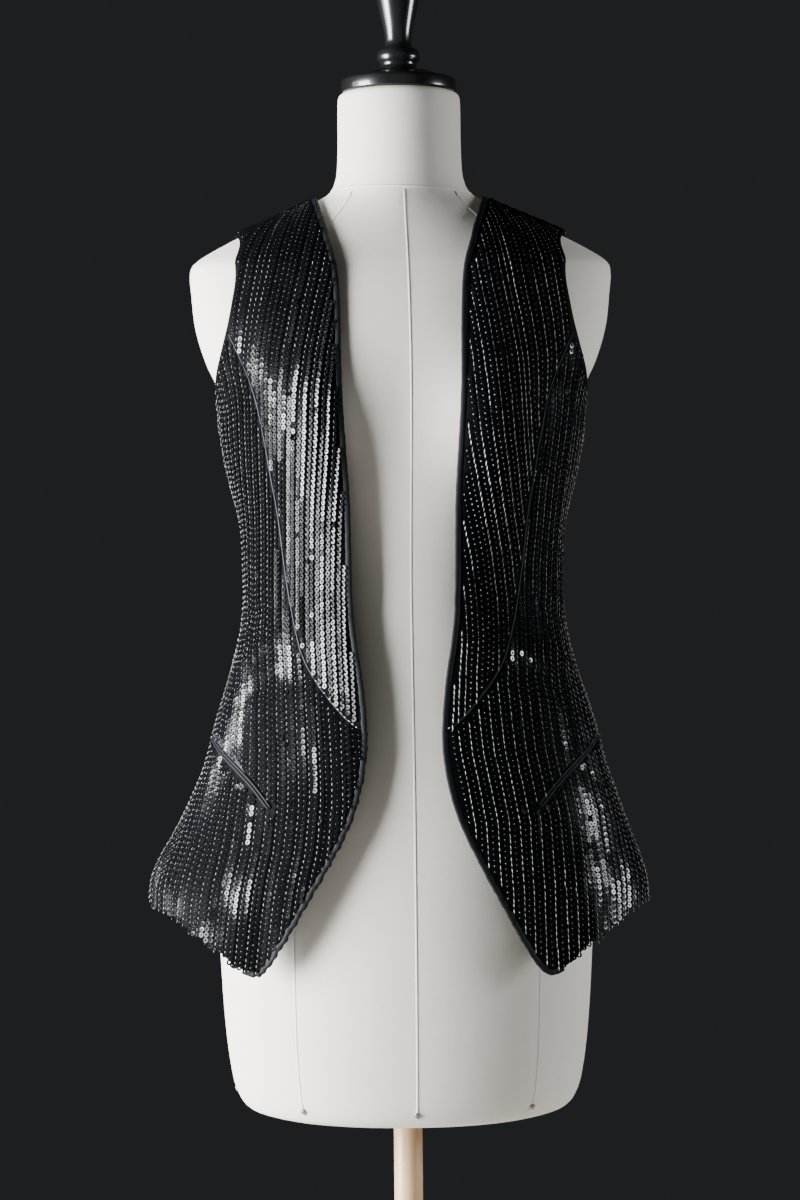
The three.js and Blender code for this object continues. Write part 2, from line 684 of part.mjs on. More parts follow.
for (const [name, side] of [['left', 1], ['right', -1]]) {
  addPiece(`front_${name}`, new THREE.Mesh(frontPanel(side), sequinCloth()));
  addPiece(`side_front_${name}`, new THREE.Mesh(sideFrontPanel(side), sequinCloth()));
  addPiece(`back_${name}`, new THREE.Mesh(backPanel(side), sequinCloth()));
  addPiece(`front_binding_${name}`, new THREE.Mesh(frontBinding(side), satin()));
  addPiece(`pocket_jets_${name}`, new THREE.Mesh(pocketWelt(side), satin()));
}

addPiece('form_body', new THREE.Mesh(formBody(), linen()));
const cap = addPiece('neck_cap', new THREE.Mesh(turned(CAP_PROFILE, ROUND_SIDES.cap), lacquer()));
cap.position.z = FORM_SECTIONS.at(-1).z + SEAM_GAP;
addPiece('stand_base', new THREE.Mesh(turned(BASE_PROFILE, ROUND_SIDES.base), beech()));
addPiece('stand_pole', new THREE.Mesh(standPole(), beech()));
for (const [name, angle] of Object.entries(TACK_ANGLES)) addPiece(`tack_${name}`, tack(angle));

export default group;
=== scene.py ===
import math

import bpy
import numpy as np
from mathutils import Matrix, Vector


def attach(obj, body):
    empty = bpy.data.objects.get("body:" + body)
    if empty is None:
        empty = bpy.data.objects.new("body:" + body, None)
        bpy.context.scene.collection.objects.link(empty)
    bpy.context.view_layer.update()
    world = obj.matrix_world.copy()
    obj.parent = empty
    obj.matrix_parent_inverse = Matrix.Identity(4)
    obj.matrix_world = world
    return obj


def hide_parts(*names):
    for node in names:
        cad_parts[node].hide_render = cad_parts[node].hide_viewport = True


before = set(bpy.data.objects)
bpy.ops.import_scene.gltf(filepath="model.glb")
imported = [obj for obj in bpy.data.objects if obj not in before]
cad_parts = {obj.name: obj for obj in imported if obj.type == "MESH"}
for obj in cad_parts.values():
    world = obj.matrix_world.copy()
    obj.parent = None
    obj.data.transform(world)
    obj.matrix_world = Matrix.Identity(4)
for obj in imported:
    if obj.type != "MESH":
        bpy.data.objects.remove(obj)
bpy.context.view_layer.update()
chance = np.random.default_rng(7)

# ---- Camera, floor and light -----------------------------------------------------------------------
# The camera stands a little above the waist, and looks slightly down and a touch askew. A tall soft
# window with a pale wall round it stands at the waistcoat's right and a small one far off at its left,
# and a dim warm room lies behind the camera.

camera = bpy.data.objects.new("camera", bpy.data.cameras.new("camera"))
bpy.context.collection.objects.link(camera)
bpy.context.scene.camera = camera
camera.data.lens = 73.3
camera.data.sensor_width = 36
LOOKS_DOWN, LEANS = 2.81, 0.53  # degrees
camera.matrix_world = (Matrix.Translation((-0.003, -2.2, 1.05))
                       @ Matrix.Rotation(math.radians(90 - LOOKS_DOWN), 4, "X")
                       @ Matrix.Rotation(math.radians(-LEANS), 4, "Z"))


def soft_light(name, at, towards, size, power, colour):
    """A rectangle of light at a place, turned towards another."""
    lamp = bpy.data.lights.new(name, "AREA")
    lamp.shape = "RECTANGLE"
    lamp.size, lamp.size_y = size
    lamp.energy = power
    lamp.color = colour
    light = bpy.data.objects.new(name, lamp)
    light.location = at
    light.rotation_euler = (Vector(towards) - Vector(at)).to_track_quat("-Z", "Y").to_euler()
    light.visible_camera = False
    bpy.context.collection.objects.link(light)


soft_light("window", (-1.87, -0.6, 0.95), (0, 0, 0.95), (0.9, 1.5), 250, (0.95, 0.975, 1.0))
soft_light("wall", (-2.38, -0.35, 0.95), (0, 0, 0.95), (1.9, 1.9), 50, (0.95, 0.975, 1.0))
soft_light("far window", (1.98, -0.2, 1.18), (0, 0, 0.9), (0.62, 0.52), 26, (0.96, 0.98, 1.0))
soft_light("room", (0.6, -3.4, 1.9), (0, 0, 1.0), (3.2, 2.4), 3, (1.0, 0.84, 0.66))

world = bpy.data.worlds.new("room")
bpy.context.scene.world = world
world.use_nodes = True
world.node_tree.nodes["Background"].inputs["Color"].default_value = (0.018, 0.0185, 0.0205, 1)


class Link:
    """A socket that can be reckoned with: each sign adds a Math node to its finish."""

    def __init__(self, finish, socket):
        self.finish, self.socket = finish, socket

    def reckon(self, operation, *terms):
        """One Math node on its terms in order."""
        return self.finish.add("Math", {"operation": operation}, dict(enumerate(terms)))

    def __add__(self, other):
        return self.reckon("ADD", self, other)

    def __rsub__(self, other):
        return self.reckon("SUBTRACT", other, self)

    def __mul__(self, other):
        return self.reckon("MULTIPLY", self, other)

    def __pow__(self, other):
        return self.reckon("POWER", self, other)

    def __gt__(self, other):
        return self.reckon("GREATER_THAN", self, other)

    __radd__, __rmul__ = __add__, __mul__


class Finish:
    """A material under way. Its fixed values are set on the shader's own sockets."""

    def __init__(self, name, **fixed):
        self.material = bpy.data.materials.new(name)
        self.material.use_nodes = True
        self.nodes = self.material.node_tree.nodes
        self.shader = self.nodes["Principled BSDF"]
        for socket, value in fixed.items():
            self.shader.inputs[socket.replace("_", " ")].default_value = value

    def add(self, kind, settings, inputs, output=0):
        """One node: its settings, then the values or links of its sockets. Gives one output."""
        node = self.nodes.new("ShaderNode" + kind)
        for name, value in settings.items():
            setattr(node, name, value)
        for socket, value in inputs.items():
            if isinstance(value, Link):
                self.material.node_tree.links.new(value.socket, node.inputs[socket])
            else:
                node.inputs[socket].default_value = value
        return Link(self, node.outputs[output])

    def place(self):
        """Where a point lies on its piece, in metres."""
        return self.add("TexCoord", {}, {}, "Object")

    def cut_place(self):
        """Where a point lies on the cut cloth or strip, by the piece's own map."""
        return self.add("UVMap", {}, {})

    def tone(self):
        """A share that each point of a piece carries."""
        return self.add("Attribute", {"attribute_name": "tone"}, {}, 2)

    def noise(self, scale, detail=2.0, at=None):
        """A share that clouds over the piece, by the count of clouds in a metre."""
        return self.add("TexNoise", {}, {"Vector": at or self.place(), "Scale": scale, "Detail": detail})

    def blend(self, share, one, other):
        """One colour turning into another by a share."""
        return self.add("Mix", {"data_type": "RGBA"}, {0: share, 6: one, 7: other}, 2)

    def drive(self, **links):
        """Joins what changes over the surface to the shader."""
        for socket, link in links.items():
            self.material.node_tree.links.new(link.socket, self.shader.inputs[socket.replace("_", " ")])

    def bump(self, height, distance, strength=1.0):
        """Tilts the surface as if it rose by its height times a distance in metres."""
        normal = self.add("Bump", {}, {"Height": height, "Distance": distance, "Strength": strength})
        self.drive(Normal=normal)


floor_finish = Finish("floor", Base_Color=(0.55, 0.53, 0.5, 1), Roughness=0.8)
floor_finish.drive(Base_Color=floor_finish.blend(
    floor_finish.noise(3), (0.52, 0.5, 0.47, 1), (0.57, 0.55, 0.52, 1)))
bpy.ops.mesh.primitive_circle_add(vertices=160, radius=1.15, fill_type="NGON")
floor = bpy.context.object
floor.name = "floor"
floor.data.materials.append(floor_finish.material)

# ---- Form ------------------------------------------------------------------------------------------
# A limbless padded form under a tight cream cotton cover, which is sewn from panels with seams down
# the front, sides and back and one round the foot of the neck. Sizes are in millimetres.

FORM_SECTIONS = np.array([  # height, half width, depth in front, depth behind, fullness
    (486, 139, 96, 100, 2.2), (489, 147, 104, 108, 2.2), (496, 152.5, 110, 114, 2.2),
    (510, 157.5, 114.5, 119, 2.2), (553, 163.5, 118, 123, 2.2), (625, 168, 119, 127, 2.2),
    (700, 170, 118, 129, 2.2), (765, 167, 115.5, 125, 2.2), (820, 158, 111, 113, 2.15),
    (880, 141, 104, 95, 2.1), (935, 128, 98, 82, 2.1), (965, 126, 97, 80, 2.1),
    (1010, 132, 101, 86, 2.15), (1055, 143, 110, 94, 2.25), (1095, 152, 117, 100, 2.35),
    (1120, 158, 118.5, 103, 2.4), (1136, 165, 118.5, 105, 2.4), (1155, 174, 117, 106, 2.4),
    (1185, 183, 112, 106, 2.35), (1215, 186.5, 103, 103, 2.3), (1238, 187.5, 94, 99, 2.2),
    (1247, 180, 89, 95, 2.1), (1267.5, 143, 77, 83, 1.9), (1284.5, 106, 67, 71, 1.75),
    (1299, 73.5, 59.5, 62, 1.8), (1304, 65, 57.5, 58.5, 1.95), (1310, 60, 56, 56, 2),
    (1320, 56.5, 55.2, 55.2, 2), (1345, 55, 55, 55, 2), (1387, 54.5, 54.5, 54.5, 2),
    (1392, 53, 53, 53, 2), (1394, 50, 50, 50, 2)])
BUST = {"angle": 38, "z": 1104, "forward": 17, "spread": 19, "rise": 50, "hang": 82}
MILLIMETRE = 0.001


def rows_beside(rows):
    """The numbers of the rows before and after each, or its own at either end."""
    number = np.arange(len(rows))
    return np.maximum(number - 1, 0), np.minimum(number + 1, len(rows) - 1)


def cubic_step(t, i, values, slope, rise=1.0):
    """From row i to the next by a share t: the cubic with the rows' values and slopes at its ends."""
    return ((2 * t ** 3 - 3 * t ** 2 + 1) * values[i] + (t ** 3 - 2 * t ** 2 + t) * rise * slope[i]
            + (3 * t ** 2 - 2 * t ** 3) * values[i + 1] + (t ** 3 - t ** 2) * rise * slope[i + 1])


def between_rows(table, z):
    """Every other column of a table at the heights in its first: cubic steps between the rows, with
    slopes taken from the rows either side."""
    heights, values = table[:, 0], table[:, 1:]
    z = np.clip(z, heights[0], heights[-1])
    i = np.clip(np.searchsorted(heights, z) - 1, 0, len(heights) - 2)
    before, after = rows_beside(heights)
    slope = (values[after] - values[before]) / (heights[after] - heights[before])[:, None]
    rise = (heights[i + 1] - heights[i])[..., None]
    return np.moveaxis(cubic_step((z - heights[i])[..., None] / rise, i, values, slope, rise), -1, 0)


def unit(vectors):
    """Vectors over their own lengths."""
    return vectors / np.linalg.norm(vectors, axis=-1, keepdims=True)


def together(*parts):
    """Arrays spread to one shape and put side by side, as points from their coordinates."""
    return np.stack(np.broadcast_arrays(*parts), -1)


def as_grids(angle, z):
    """Angles and heights spread to one shape."""
    return np.broadcast_arrays(np.asarray(angle, float), np.asarray(z, float))


def section_radius(angle, half, front, back, full):
    """Distance from the axis: the sum of (sine / half width) and (cosine / depth), each to the power
    of the fullness, is one."""
    across, ahead = np.abs(np.sin(np.radians(angle))), np.cos(np.radians(angle))
    depth = np.where(ahead > 0, front, back)
    return ((across / half) ** full + (np.abs(ahead) / depth) ** full) ** (-1 / full)


def bust_swell(angle, z, below="rise"):
    """How far the bust stands forward: a bell over angle and height on either side, whose reach below
    the peak is the form's own or that of the cloth that hangs from it."""
    rise = np.where(z < BUST["z"], BUST[below], BUST["rise"])
    return BUST["forward"] * np.exp(-((np.abs(angle) - BUST["angle"]) / BUST["spread"]) ** 2
                                    - ((z - BUST["z"]) / rise) ** 2)


def form_point(angle, z):
    """Points of the form at angles round the axis, 0 in front and 90 at the left, and heights."""
    angle, z = as_grids(angle, z)
    radius = section_radius(angle, *between_rows(FORM_SECTIONS, z))
    turn = np.radians(angle)
    return np.stack([radius * np.sin(turn), -radius * np.cos(turn) - bust_swell(angle, z), z], -1)


def outward(point, angle, z):
    """The way out of a surface of (angle, height): its slope round crossed with its slope upwards."""
    around = point(angle + 0.5, z) - point(angle - 0.5, z)
    upward = point(angle, z + 1) - point(angle, z - 1)
    return unit(np.cross(around, upward))


def make_piece(name, points, faces, finish, slot, nodes=(), uv=None, tone=None):
    """A smooth mesh piece from points in millimetres and faces with equal counts of corners, riding
    on the frame. It may stand for nodes, and carry a UV place and a tone at each point."""
    points, faces = points.reshape(-1, 3), faces.reshape(-1, faces.shape[-1])
    mesh = bpy.data.meshes.new(name)
    mesh.vertices.add(len(points))
    mesh.vertices.foreach_set("co", (points * MILLIMETRE).ravel())
    mesh.loops.add(faces.size)
    mesh.loops.foreach_set("vertex_index", faces.ravel())
    mesh.polygons.add(len(faces))
    mesh.polygons.foreach_set("loop_start", np.arange(len(faces)) * faces.shape[1])
    mesh.update(calc_edges=True)
    mesh.shade_smooth()
    if uv is not None:
        layer = mesh.uv_layers.new(name="cut")
        layer.data.foreach_set("uv", uv.reshape(-1, 2)[faces.ravel()].ravel())
    if tone is not None:
        mesh.attributes.new("tone", "FLOAT", "POINT").data.foreach_set("value", tone.ravel())
    piece = bpy.data.objects.new(name, mesh)
    bpy.context.collection.objects.link(piece)
    mesh.materials.append(finish.material)
    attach(piece, "root")
    if nodes:
        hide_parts(*nodes)
    return piece


def grid_faces(rows, columns, is_round=False):
    """Four-cornered faces of a grid of points, closed round its columns if it is a tube."""
    i, j = np.meshgrid(np.arange(rows - 1), np.arange(columns if is_round else columns - 1), indexing="ij")
    a, b = i * columns + j, i * columns + (j + 1) % columns
    return np.stack([a, b, b + columns, a + columns], -1).reshape(-1, 4)


def closed_tube(rings):
    """Points and faces of a tube of rings whose ends shrink onto their own middles."""
    ends = [np.repeat(ring.mean(0)[None], len(ring), 0) for ring in (rings[0], rings[-1])]
    rings = np.concatenate([ends[0][None], rings, ends[1][None]])
    return rings, grid_faces(len(rings), rings.shape[1], is_round=True)


linen = Finish("cream cotton cover", Roughness=0.92, Sheen_Weight=0.12)
threads = {"Vector": linen.cut_place(), "Scale": 0.35, "Distortion": 1.5, "Detail": 1.0}
warp, weft = (linen.add("TexWave", {"bands_direction": way}, threads) for way in "XY")
slub = linen.noise(9, 3)
linen.drive(Base_Color=linen.blend(slub * 0.6 + linen.noise(160) * 0.4, (0.76, 0.72, 0.635, 1),
                                   (0.86, 0.825, 0.75, 1)))
linen.bump(warp * 0.5 + weft * 0.5 + linen.noise(220) * 0.6, 0.0002, 0.5)

# Close rings where the form turns in below, over the shoulders and at the top of the neck.
heights = np.r_[486, 487, 489, 492, 496, 502, np.arange(510, 1240, 8), np.arange(1240, 1312, 3),
                np.arange(1312, 1388, 8), 1389, 1391, 1392, 1393.3, 1394]
around = np.arange(0, 360, 2.25) - 180
GIRTH_OF_A_DEGREE = 2.6
rings, faces = closed_tube(form_point(around[None, :], heights[:, None]))
upright = np.r_[heights[0], heights, heights[-1]]
uv = together(around[None, :] * GIRTH_OF_A_DEGREE, upright[:, None])
form_cover = make_piece("form_cover", rings, faces, linen, "form_linen", ["form_body"], uv=uv)

# Seams of the cover: each is a low welt where the turned edges lie to one side.
SEAM_ANGLES = (4, 52, 94, 138, -176, -130, -86, -44)
SEAM_FOOT, SEAM_TOP = 497, 1303
NECK_SEAM = {"z": 1306.5, "slant": -1.6}
WELT_PROFILE = np.array([(-1.1, -0.3), (-0.9, 0.12), (0.0, 0.3), (0.9, 0.25), (1.3, -0.3)])


def laid_strip(point, angle, z, profile):
    """A strip laid along a path of places on a surface: the profile's (sideways, lift) corners, the
    same or each place's own, carried along it on the surface's own frame."""
    here, normal = point(angle, z), outward(point, angle, z)
    sideways = unit(np.cross(np.gradient(here, axis=0), normal))
    return here[:, None] + sideways[:, None] * profile[..., :1] + normal[:, None] * profile[..., 1:]


turn = np.linspace(-180, 180, 121)
seam_paths = [(np.full(160, float(seam)), np.linspace(SEAM_FOOT, SEAM_TOP, 160)) for seam in SEAM_ANGLES]
seam_paths.append((turn, NECK_SEAM["z"] + NECK_SEAM["slant"] * np.sin(np.radians(turn))))
welts, welt_faces, count = [], [], 0
for seam_path in seam_paths:
    points, faces = closed_tube(laid_strip(form_point, *seam_path, WELT_PROFILE))
    welts.append(points.reshape(-1, 3))
    welt_faces.append(faces + count)
    count += len(welts[-1])
welts = np.concatenate(welts)
make_piece("form_seams", welts, np.concatenate(welt_faces), linen, "form_linen", uv=welts[:, ::2])

# ---- Tacks -----------------------------------------------------------------------------------------
# Small domed steel tacks, gone dull, driven in round the form's lower edge to hold the cover where it
# is turned under. They show as the solids they are.

steel = Finish("dulled steel", Metallic=0.9)
steel.drive(Base_Color=steel.blend(steel.noise(900), (0.2, 0.19, 0.18, 1), (0.42, 0.41, 0.39, 1)),
            Roughness=0.35 + 0.25 * steel.noise(500))
for tack in ("front", "front_left", "side_left", "back_left", "back", "back_right", "side_right",
             "front_right"):
    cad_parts["tack_" + tack].data.materials.clear()
    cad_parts["tack_" + tack].data.materials.append(steel.material)

# ---- Neck cap, pole and base -----------------------------------------------------------------------
# Turned on a lathe: the cap and its knob in one piece of wood under black gloss lacquer, the pole and
# the round base in beech under a thin satin varnish.

CAP_FOOT, POLE_FOOT = 1394.36, 30.36
CAP_PROFILE = np.array([  # radius, height over the cap's underside
    (0.01, 0), (49.5, 0), (51.2, 0.8), (51.5, 2.5), (51.5, 9.5), (50.8, 11.4), (48.5, 12.5), (42, 13.6),
    (36, 15), (33.4, 16), (32, 17.5), (27, 18.2), (21, 18.8), (18, 20), (16.5, 22), (15.8, 24), (16, 26),
    (17.4, 27.8), (18.8, 29.5), (19.3, 31.6), (19, 34), (18.4, 36.4), (17.5, 38), (14.6, 39.4),
    (12.8, 41), (11.9, 43.4), (11.7, 46), (12, 50), (12.8, 56), (14.1, 62), (15.6, 68), (17.2, 75),
    (18.8, 82), (20.3, 90), (21.5, 98), (22.3, 105), (22.5, 112), (22, 119), (20.5, 126), (18.5, 132),
    (15.5, 137), (12, 141), (8, 143.9), (4, 145.6), (0.01, 146)])
BASE_PROFILE = np.array([(0.01, 0), (203.4, 0), (205, 1.6), (205, 22), (204.4, 25), (202.6, 27.8),
                         (200, 29.4), (197, 30), (120, 30), (13.5, 30), (0.01, 30)])
POLE_PROFILE = np.array([(0.01, 0), (12.2, 0), (13, 0.8), (13, 120), (13, 300), (13, 454.5), (12.2, 455.28),
                         (0.01, 455.28)])


def turned(profile, foot, sides):
    """Points and faces of a profile of (radius, height) turned round the axis, over a foot height."""
    turn = np.linspace(0, 2 * np.pi, sides, endpoint=False)
    radius, height = profile[:, :1], profile[:, 1:]
    points = together(radius * np.cos(turn), radius * np.sin(turn), height + foot)
    return points, grid_faces(len(profile), sides, is_round=True)


lacquer = Finish("black lacquer", Coat_Weight=0.6, Coat_Roughness=0.06)
lacquer.drive(Base_Color=lacquer.blend(lacquer.noise(40, 4), (0.004, 0.004, 0.005, 1),
                                       (0.012, 0.012, 0.013, 1)),
              Roughness=0.14 + 0.18 * lacquer.noise(25, 4))
lacquer.bump(lacquer.noise(30, 3), 0.0004, 0.25)
make_piece("cap_and_knob", *turned(CAP_PROFILE, CAP_FOOT, 96), lacquer, "cap_lacquer", ["neck_cap"])


def beech(name, stretch):
    """Beech: fine short flecks and soft bands of growth, both drawn out along the grain."""
    wood = Finish(name, Coat_Weight=0.25, Coat_Roughness=0.25)
    along = wood.add("Mapping", {}, {"Vector": wood.place(), "Scale": stretch})
    growth = wood.noise(22, 4, along)
    fleck = wood.noise(240, 2, along)
    dark = wood.blend(growth, (0.50, 0.31, 0.16, 1), (0.66, 0.45, 0.26, 1))
    wood.drive(Base_Color=wood.blend((fleck > 0.62) * 0.35, dark, (0.34, 0.19, 0.09, 1)),
               Roughness=0.42 + 0.2 * growth)
    wood.bump(fleck, 0.0002, 0.4)
    return wood


make_piece("pole", *turned(POLE_PROFILE, POLE_FOOT, 64), beech("beech along the pole", (1, 1, 0.06)),
           "stand_wood", ["stand_pole"])
make_piece("base", *turned(BASE_PROFILE, 0, 160), beech("beech across the base", (0.08, 1, 1)),
           "stand_wood", ["stand_base"])

# ---- Waistcoat: shape of the cloth -----------------------------------------------------------------
# The cloth hangs clear of the form: close over shoulders and bust, a little loose at the waist, and
# flared into soft flutes below. Drag lines run across the waist and up from the hem.

CLOTH_EASE = np.array([  # height, room at the sides, in front, behind, and the hang to one side
    (620, 54, 17.5, 46, -6), (673, 50.5, 16.5, 42, -7), (690, 49, 16, 39, -7), (708, 43.5, 15.5, 35, -6),
    (733, 33, 14.5, 29, -3.5), (761, 23.5, 14, 23, -1.5), (797, 15, 13.5, 17, 0), (851, 13, 14, 13.5, 0),
    (906, 12.5, 15.5, 13.5, 0), (965, 15.5, 16.5, 14, 0), (1016, 11.5, 14, 11, 0), (1088, 10.5, 7.5, 5, 0),
    (1118, 6, 4, 3.5, 0), (1160, 3.5, 3, 4, 0), (1210, 4, 3.2, 5.5, 0), (1245, 6.5, 4.5, 8.5, 0),
    (1304, 5, 4, 6.5, 0)])
FLUTES = np.array([  # angle, depth, spread, height at which it fades out
    (-173, 4, 7, 850), (-152, -5, 8, 870), (-131, 6, 8, 840), (-111, -5, 7, 820), (-92, 3.5, 6, 800),
    (-76, -4, 6, 790), (-61, 4.5, 6, 800), (-47, -3.5, 5, 780), (45, -3, 5, 790), (59, 4, 6, 780),
    (74, -4.5, 6, 800), (90, 4, 6, 810), (110, -5.5, 7, 830), (129, 5.5, 7, 860), (149, -5, 7, 850),
    (169, 4.5, 8, 870)])
HEM_HEIGHT, REACH_OF_A_DEGREE = 640, 2.3
CREASES = np.array([  # angle, height, half length, half width, lean from upright, depth
    (-72, 930, 30, 7, 68, -1.6), (-66, 900, 34, 8, 60, 1.4), (-60, 868, 26, 7, 52, -1.5),
    (-30, 905, 26, 8, -70, 0.9), (-24, 940, 22, 7, -78, -0.9), (-84, 1090, 26, 6, 30, -1.1),
    (-60, 1130, 22, 6, -35, -0.9), (-47, 1215, 30, 9, -20, -0.8), (-33, 1245, 28, 7, -14, 0.8),
    (70, 935, 30, 8, -64, -1.6), (64, 905, 30, 7, -58, 1.5), (58, 872, 28, 8, -50, -1.4),
    (28, 912, 24, 7, 72, 0.9), (22, 948, 24, 7, 80, -0.9), (82, 1085, 26, 6, -30, -1.1),
    (58, 1128, 22, 6, 38, -0.9), (46, 1210, 30, 9, 18, -0.8), (35, 1250, 26, 7, 12, 0.8),
    (-112, 925, 34, 8, -66, -2.0), (-128, 895, 34, 9, -56, 1.6), (-150, 940, 30, 8, -74, -1.6),
    (112, 930, 34, 8, 64, -2.0), (130, 900, 34, 9, 56, 1.6), (152, 945, 30, 8, 74, -1.6),
    (172, 905, 30, 8, 82, 1.2), (-168, 968, 30, 8, 86, -1.2), (-120, 1165, 34, 9, -24, -1.2),
    (122, 1160, 34, 9, 26, -1.2), (-146, 1215, 30, 9, -10, 1.0), (144, 1220, 30, 9, 12, 1.0)])


def angle_between(angle, at):
    """How far round an angle is from another, the shorter way."""
    return (angle - at + 540) % 360 - 180


def cloth_plan(angle, z):
    """The cloth's distance (outward, ahead) of the axis: its section and the flutes, each a bell
    round its angle that fades out upwards."""
    side, front, back, _ = between_rows(CLOTH_EASE, z)
    half, ahead, behind, full = between_rows(FORM_SECTIONS, z)
    radius = section_radius(angle, half + side, ahead + front, behind + back, full)
    for at, depth, spread, top in FLUTES:
        fade = np.clip((top - z) / (top - HEM_HEIGHT), 0, 1)
        bell = np.exp(-(angle_between(angle, at) / spread) ** 2)
        radius = radius + depth * fade ** 2 * (3 - 2 * fade) * bell
    turn = np.radians(angle)
    return radius * np.sin(turn), radius * np.cos(turn)


def smooth_cloth(angle, z):
    """Points of the inside of the cloth before its creases, at angles and heights."""
    angle, z = as_grids(angle, z)
    out, ahead = cloth_plan(angle, z)
    aside = between_rows(CLOTH_EASE, z)[3] * np.sin(np.radians(angle)) ** 2
    return np.stack([out + aside, -ahead - bust_swell(angle, z, "hang"), z], -1)


def cloth_point(angle, z):
    """The same with the creases: each a long bell across and along its own line."""
    points = smooth_cloth(angle, z)
    angle, z = as_grids(angle, z)
    push = np.zeros(angle.shape)
    for at, height, length, width, lean, depth in CREASES:
        across, upward = angle_between(angle, at) * REACH_OF_A_DEGREE, z - height
        cosine, sine = math.cos(math.radians(lean)), math.sin(math.radians(lean))
        push += depth * np.exp(-((across * sine + upward * cosine) / length) ** 2
                               - ((across * cosine - upward * sine) / width) ** 2)
    flat = points * (1, 1, 0)
    return points + push[..., None] * flat / np.linalg.norm(flat, axis=-1, keepdims=True)


# ---- Waistcoat: edges and seams --------------------------------------------------------------------
# One half is drafted, for the wearer's left, and turned over for the right. Each line is a smooth
# curve through its rows, as a place (angle, height) at each share of its length.

FRONT_EDGE = np.array([  # out from the centre line as seen from the front, height
    (73.5, 1300.5), (68.5, 1285), (61.5, 1262), (54, 1231), (51.5, 1190), (50.5, 1130), (47.5, 1076),
    (45, 1033), (44.3, 981), (43.5, 940), (40.5, 912), (35.5, 879), (32.3, 845), (32.3, 818), (37, 787),
    (46.5, 756), (62, 723), (80, 688.5), (98, 655), (108.5, 637.5), (116.5, 627), (126, 623), (136, 626)])
FRONT_POINT = 21
PRINCESS_SEAM = np.array([
    (40.5, 838.5), (51, 847.5), (62, 860), (75, 877), (85.5, 896), (91, 914), (97.5, 946), (102.5, 981),
    (106.5, 1018), (111.5, 1050), (117, 1085), (124, 1118), (133.5, 1146), (150.5, 1182)])
ARMHOLE = np.array([  # angle, height
    (90, 1269), (76, 1263), (67.5, 1251), (62.7, 1232), (61.8, 1207), (62.7, 1182), (66, 1160),
    (71, 1144), (80, 1127), (90, 1118.5), (97, 1117), (103.5, 1123), (109, 1134), (113, 1149),
    (116, 1170), (117.5, 1193), (117.5, 1216), (115.5, 1237), (110.5, 1253), (102, 1263.5), (90, 1269)])
ARMHOLE_PRINCESS, ARMHOLE_SIDE = 5, 10
HEM = np.array([
    (48.7, 626.9), (51.1, 629.8), (53.4, 633.8), (55.6, 641.5), (58.4, 649.3), (63, 657.5), (70, 665.5),
    (81, 672.5), (97, 675), (125, 673), (152, 670), (180, 669)])
HEM_SIDE = 8
NECKLINE = np.array([(80.5, 1300.5), (115, 1297), (145, 1290.5), (180, 1287)])
BINDING_WIDTH = 3.8


def through(rows, first=0, last=None):
    """A smooth curve through rows, from the first to the last of those named."""
    before, after = rows_beside(rows)
    slope = (rows[after] - rows[before]) / 2
    last = len(rows) - 1 if last is None else last

    def curve(share):
        row = first + (last - first) * np.asarray(share, float)
        i = np.clip(row.astype(int), 0, len(rows) - 2)
        return cubic_step((row - i)[..., None], i, rows, slope)
    return curve


def angle_out(out, z):
    """The angle at which the left front stands a distance out from the centre line, by halving."""
    near, far = np.zeros(np.shape(out)), np.full(np.shape(out), 90.0)
    for _ in range(30):
        middle = (near + far) / 2
        is_short = smooth_cloth(middle, z)[..., 0] < out
        near, far = np.where(is_short, middle, near), np.where(is_short, far, middle)
    return (near + far) / 2


def seen_from_front(rows):
    """A smooth curve through rows of (distance out, height), as places (angle, height)."""
    curve = through(rows)

    def places(share):
        out, z = np.moveaxis(curve(share), -1, 0)
        return np.stack([angle_out(out, z), z], -1)
    return places


def straight(start, end):
    """A straight line of places from one to another."""
    start, end = np.asarray(start, float), np.asarray(end, float)
    return lambda share: start + (end - start) * np.asarray(share, float)[..., None]


def in_turn(first, second, part):
    """One curve after another, the first over its part of the whole."""
    return lambda share: np.where(np.asarray(share)[..., None] < part,
                                  first(np.clip(np.asarray(share) / part, 0, 1)),
                                  second(np.clip((np.asarray(share) - part) / (1 - part), 0, 1)))


front_edge = seen_from_front(FRONT_EDGE)
point_share = FRONT_POINT / (len(FRONT_EDGE) - 1)


def bound_edge(share):
    """The inner side of the binding: the front edge moved sideways along the cloth by its width."""
    share = np.asarray(share, float)
    fine = np.linspace(0, 1, 700)
    places = front_edge(fine)
    here = smooth_cloth(*places.T)
    sideways = np.cross(outward(smooth_cloth, *places.T), np.gradient(here, axis=0))
    here += BINDING_WIDTH * sideways / np.linalg.norm(sideways, axis=-1, keepdims=True)
    inner = np.stack([angle_out(here[:, 0], here[:, 2]), here[:, 2]], -1)
    return np.stack([np.interp(share, fine, inner[:, 0]), np.interp(share, fine, inner[:, 1])], -1)


princess = seen_from_front(PRINCESS_SEAM)
downward = np.linspace(0, point_share, 1500)
princess_share = downward[np.argmin(np.abs(bound_edge(downward)[:, 1] - PRINCESS_SEAM[0, 1]))]
side_seam = straight(HEM[HEM_SIDE], ARMHOLE[ARMHOLE_SIDE])


def upper_edge(share):
    """The front panel's bound edge, upwards from the princess seam's end."""
    return bound_edge(princess_share * (1 - np.asarray(share)))


def lower_edge(share):
    """The side front's bound edge, from the front point up to the princess seam's end."""
    return bound_edge(point_share + (princess_share - point_share) * np.asarray(share))


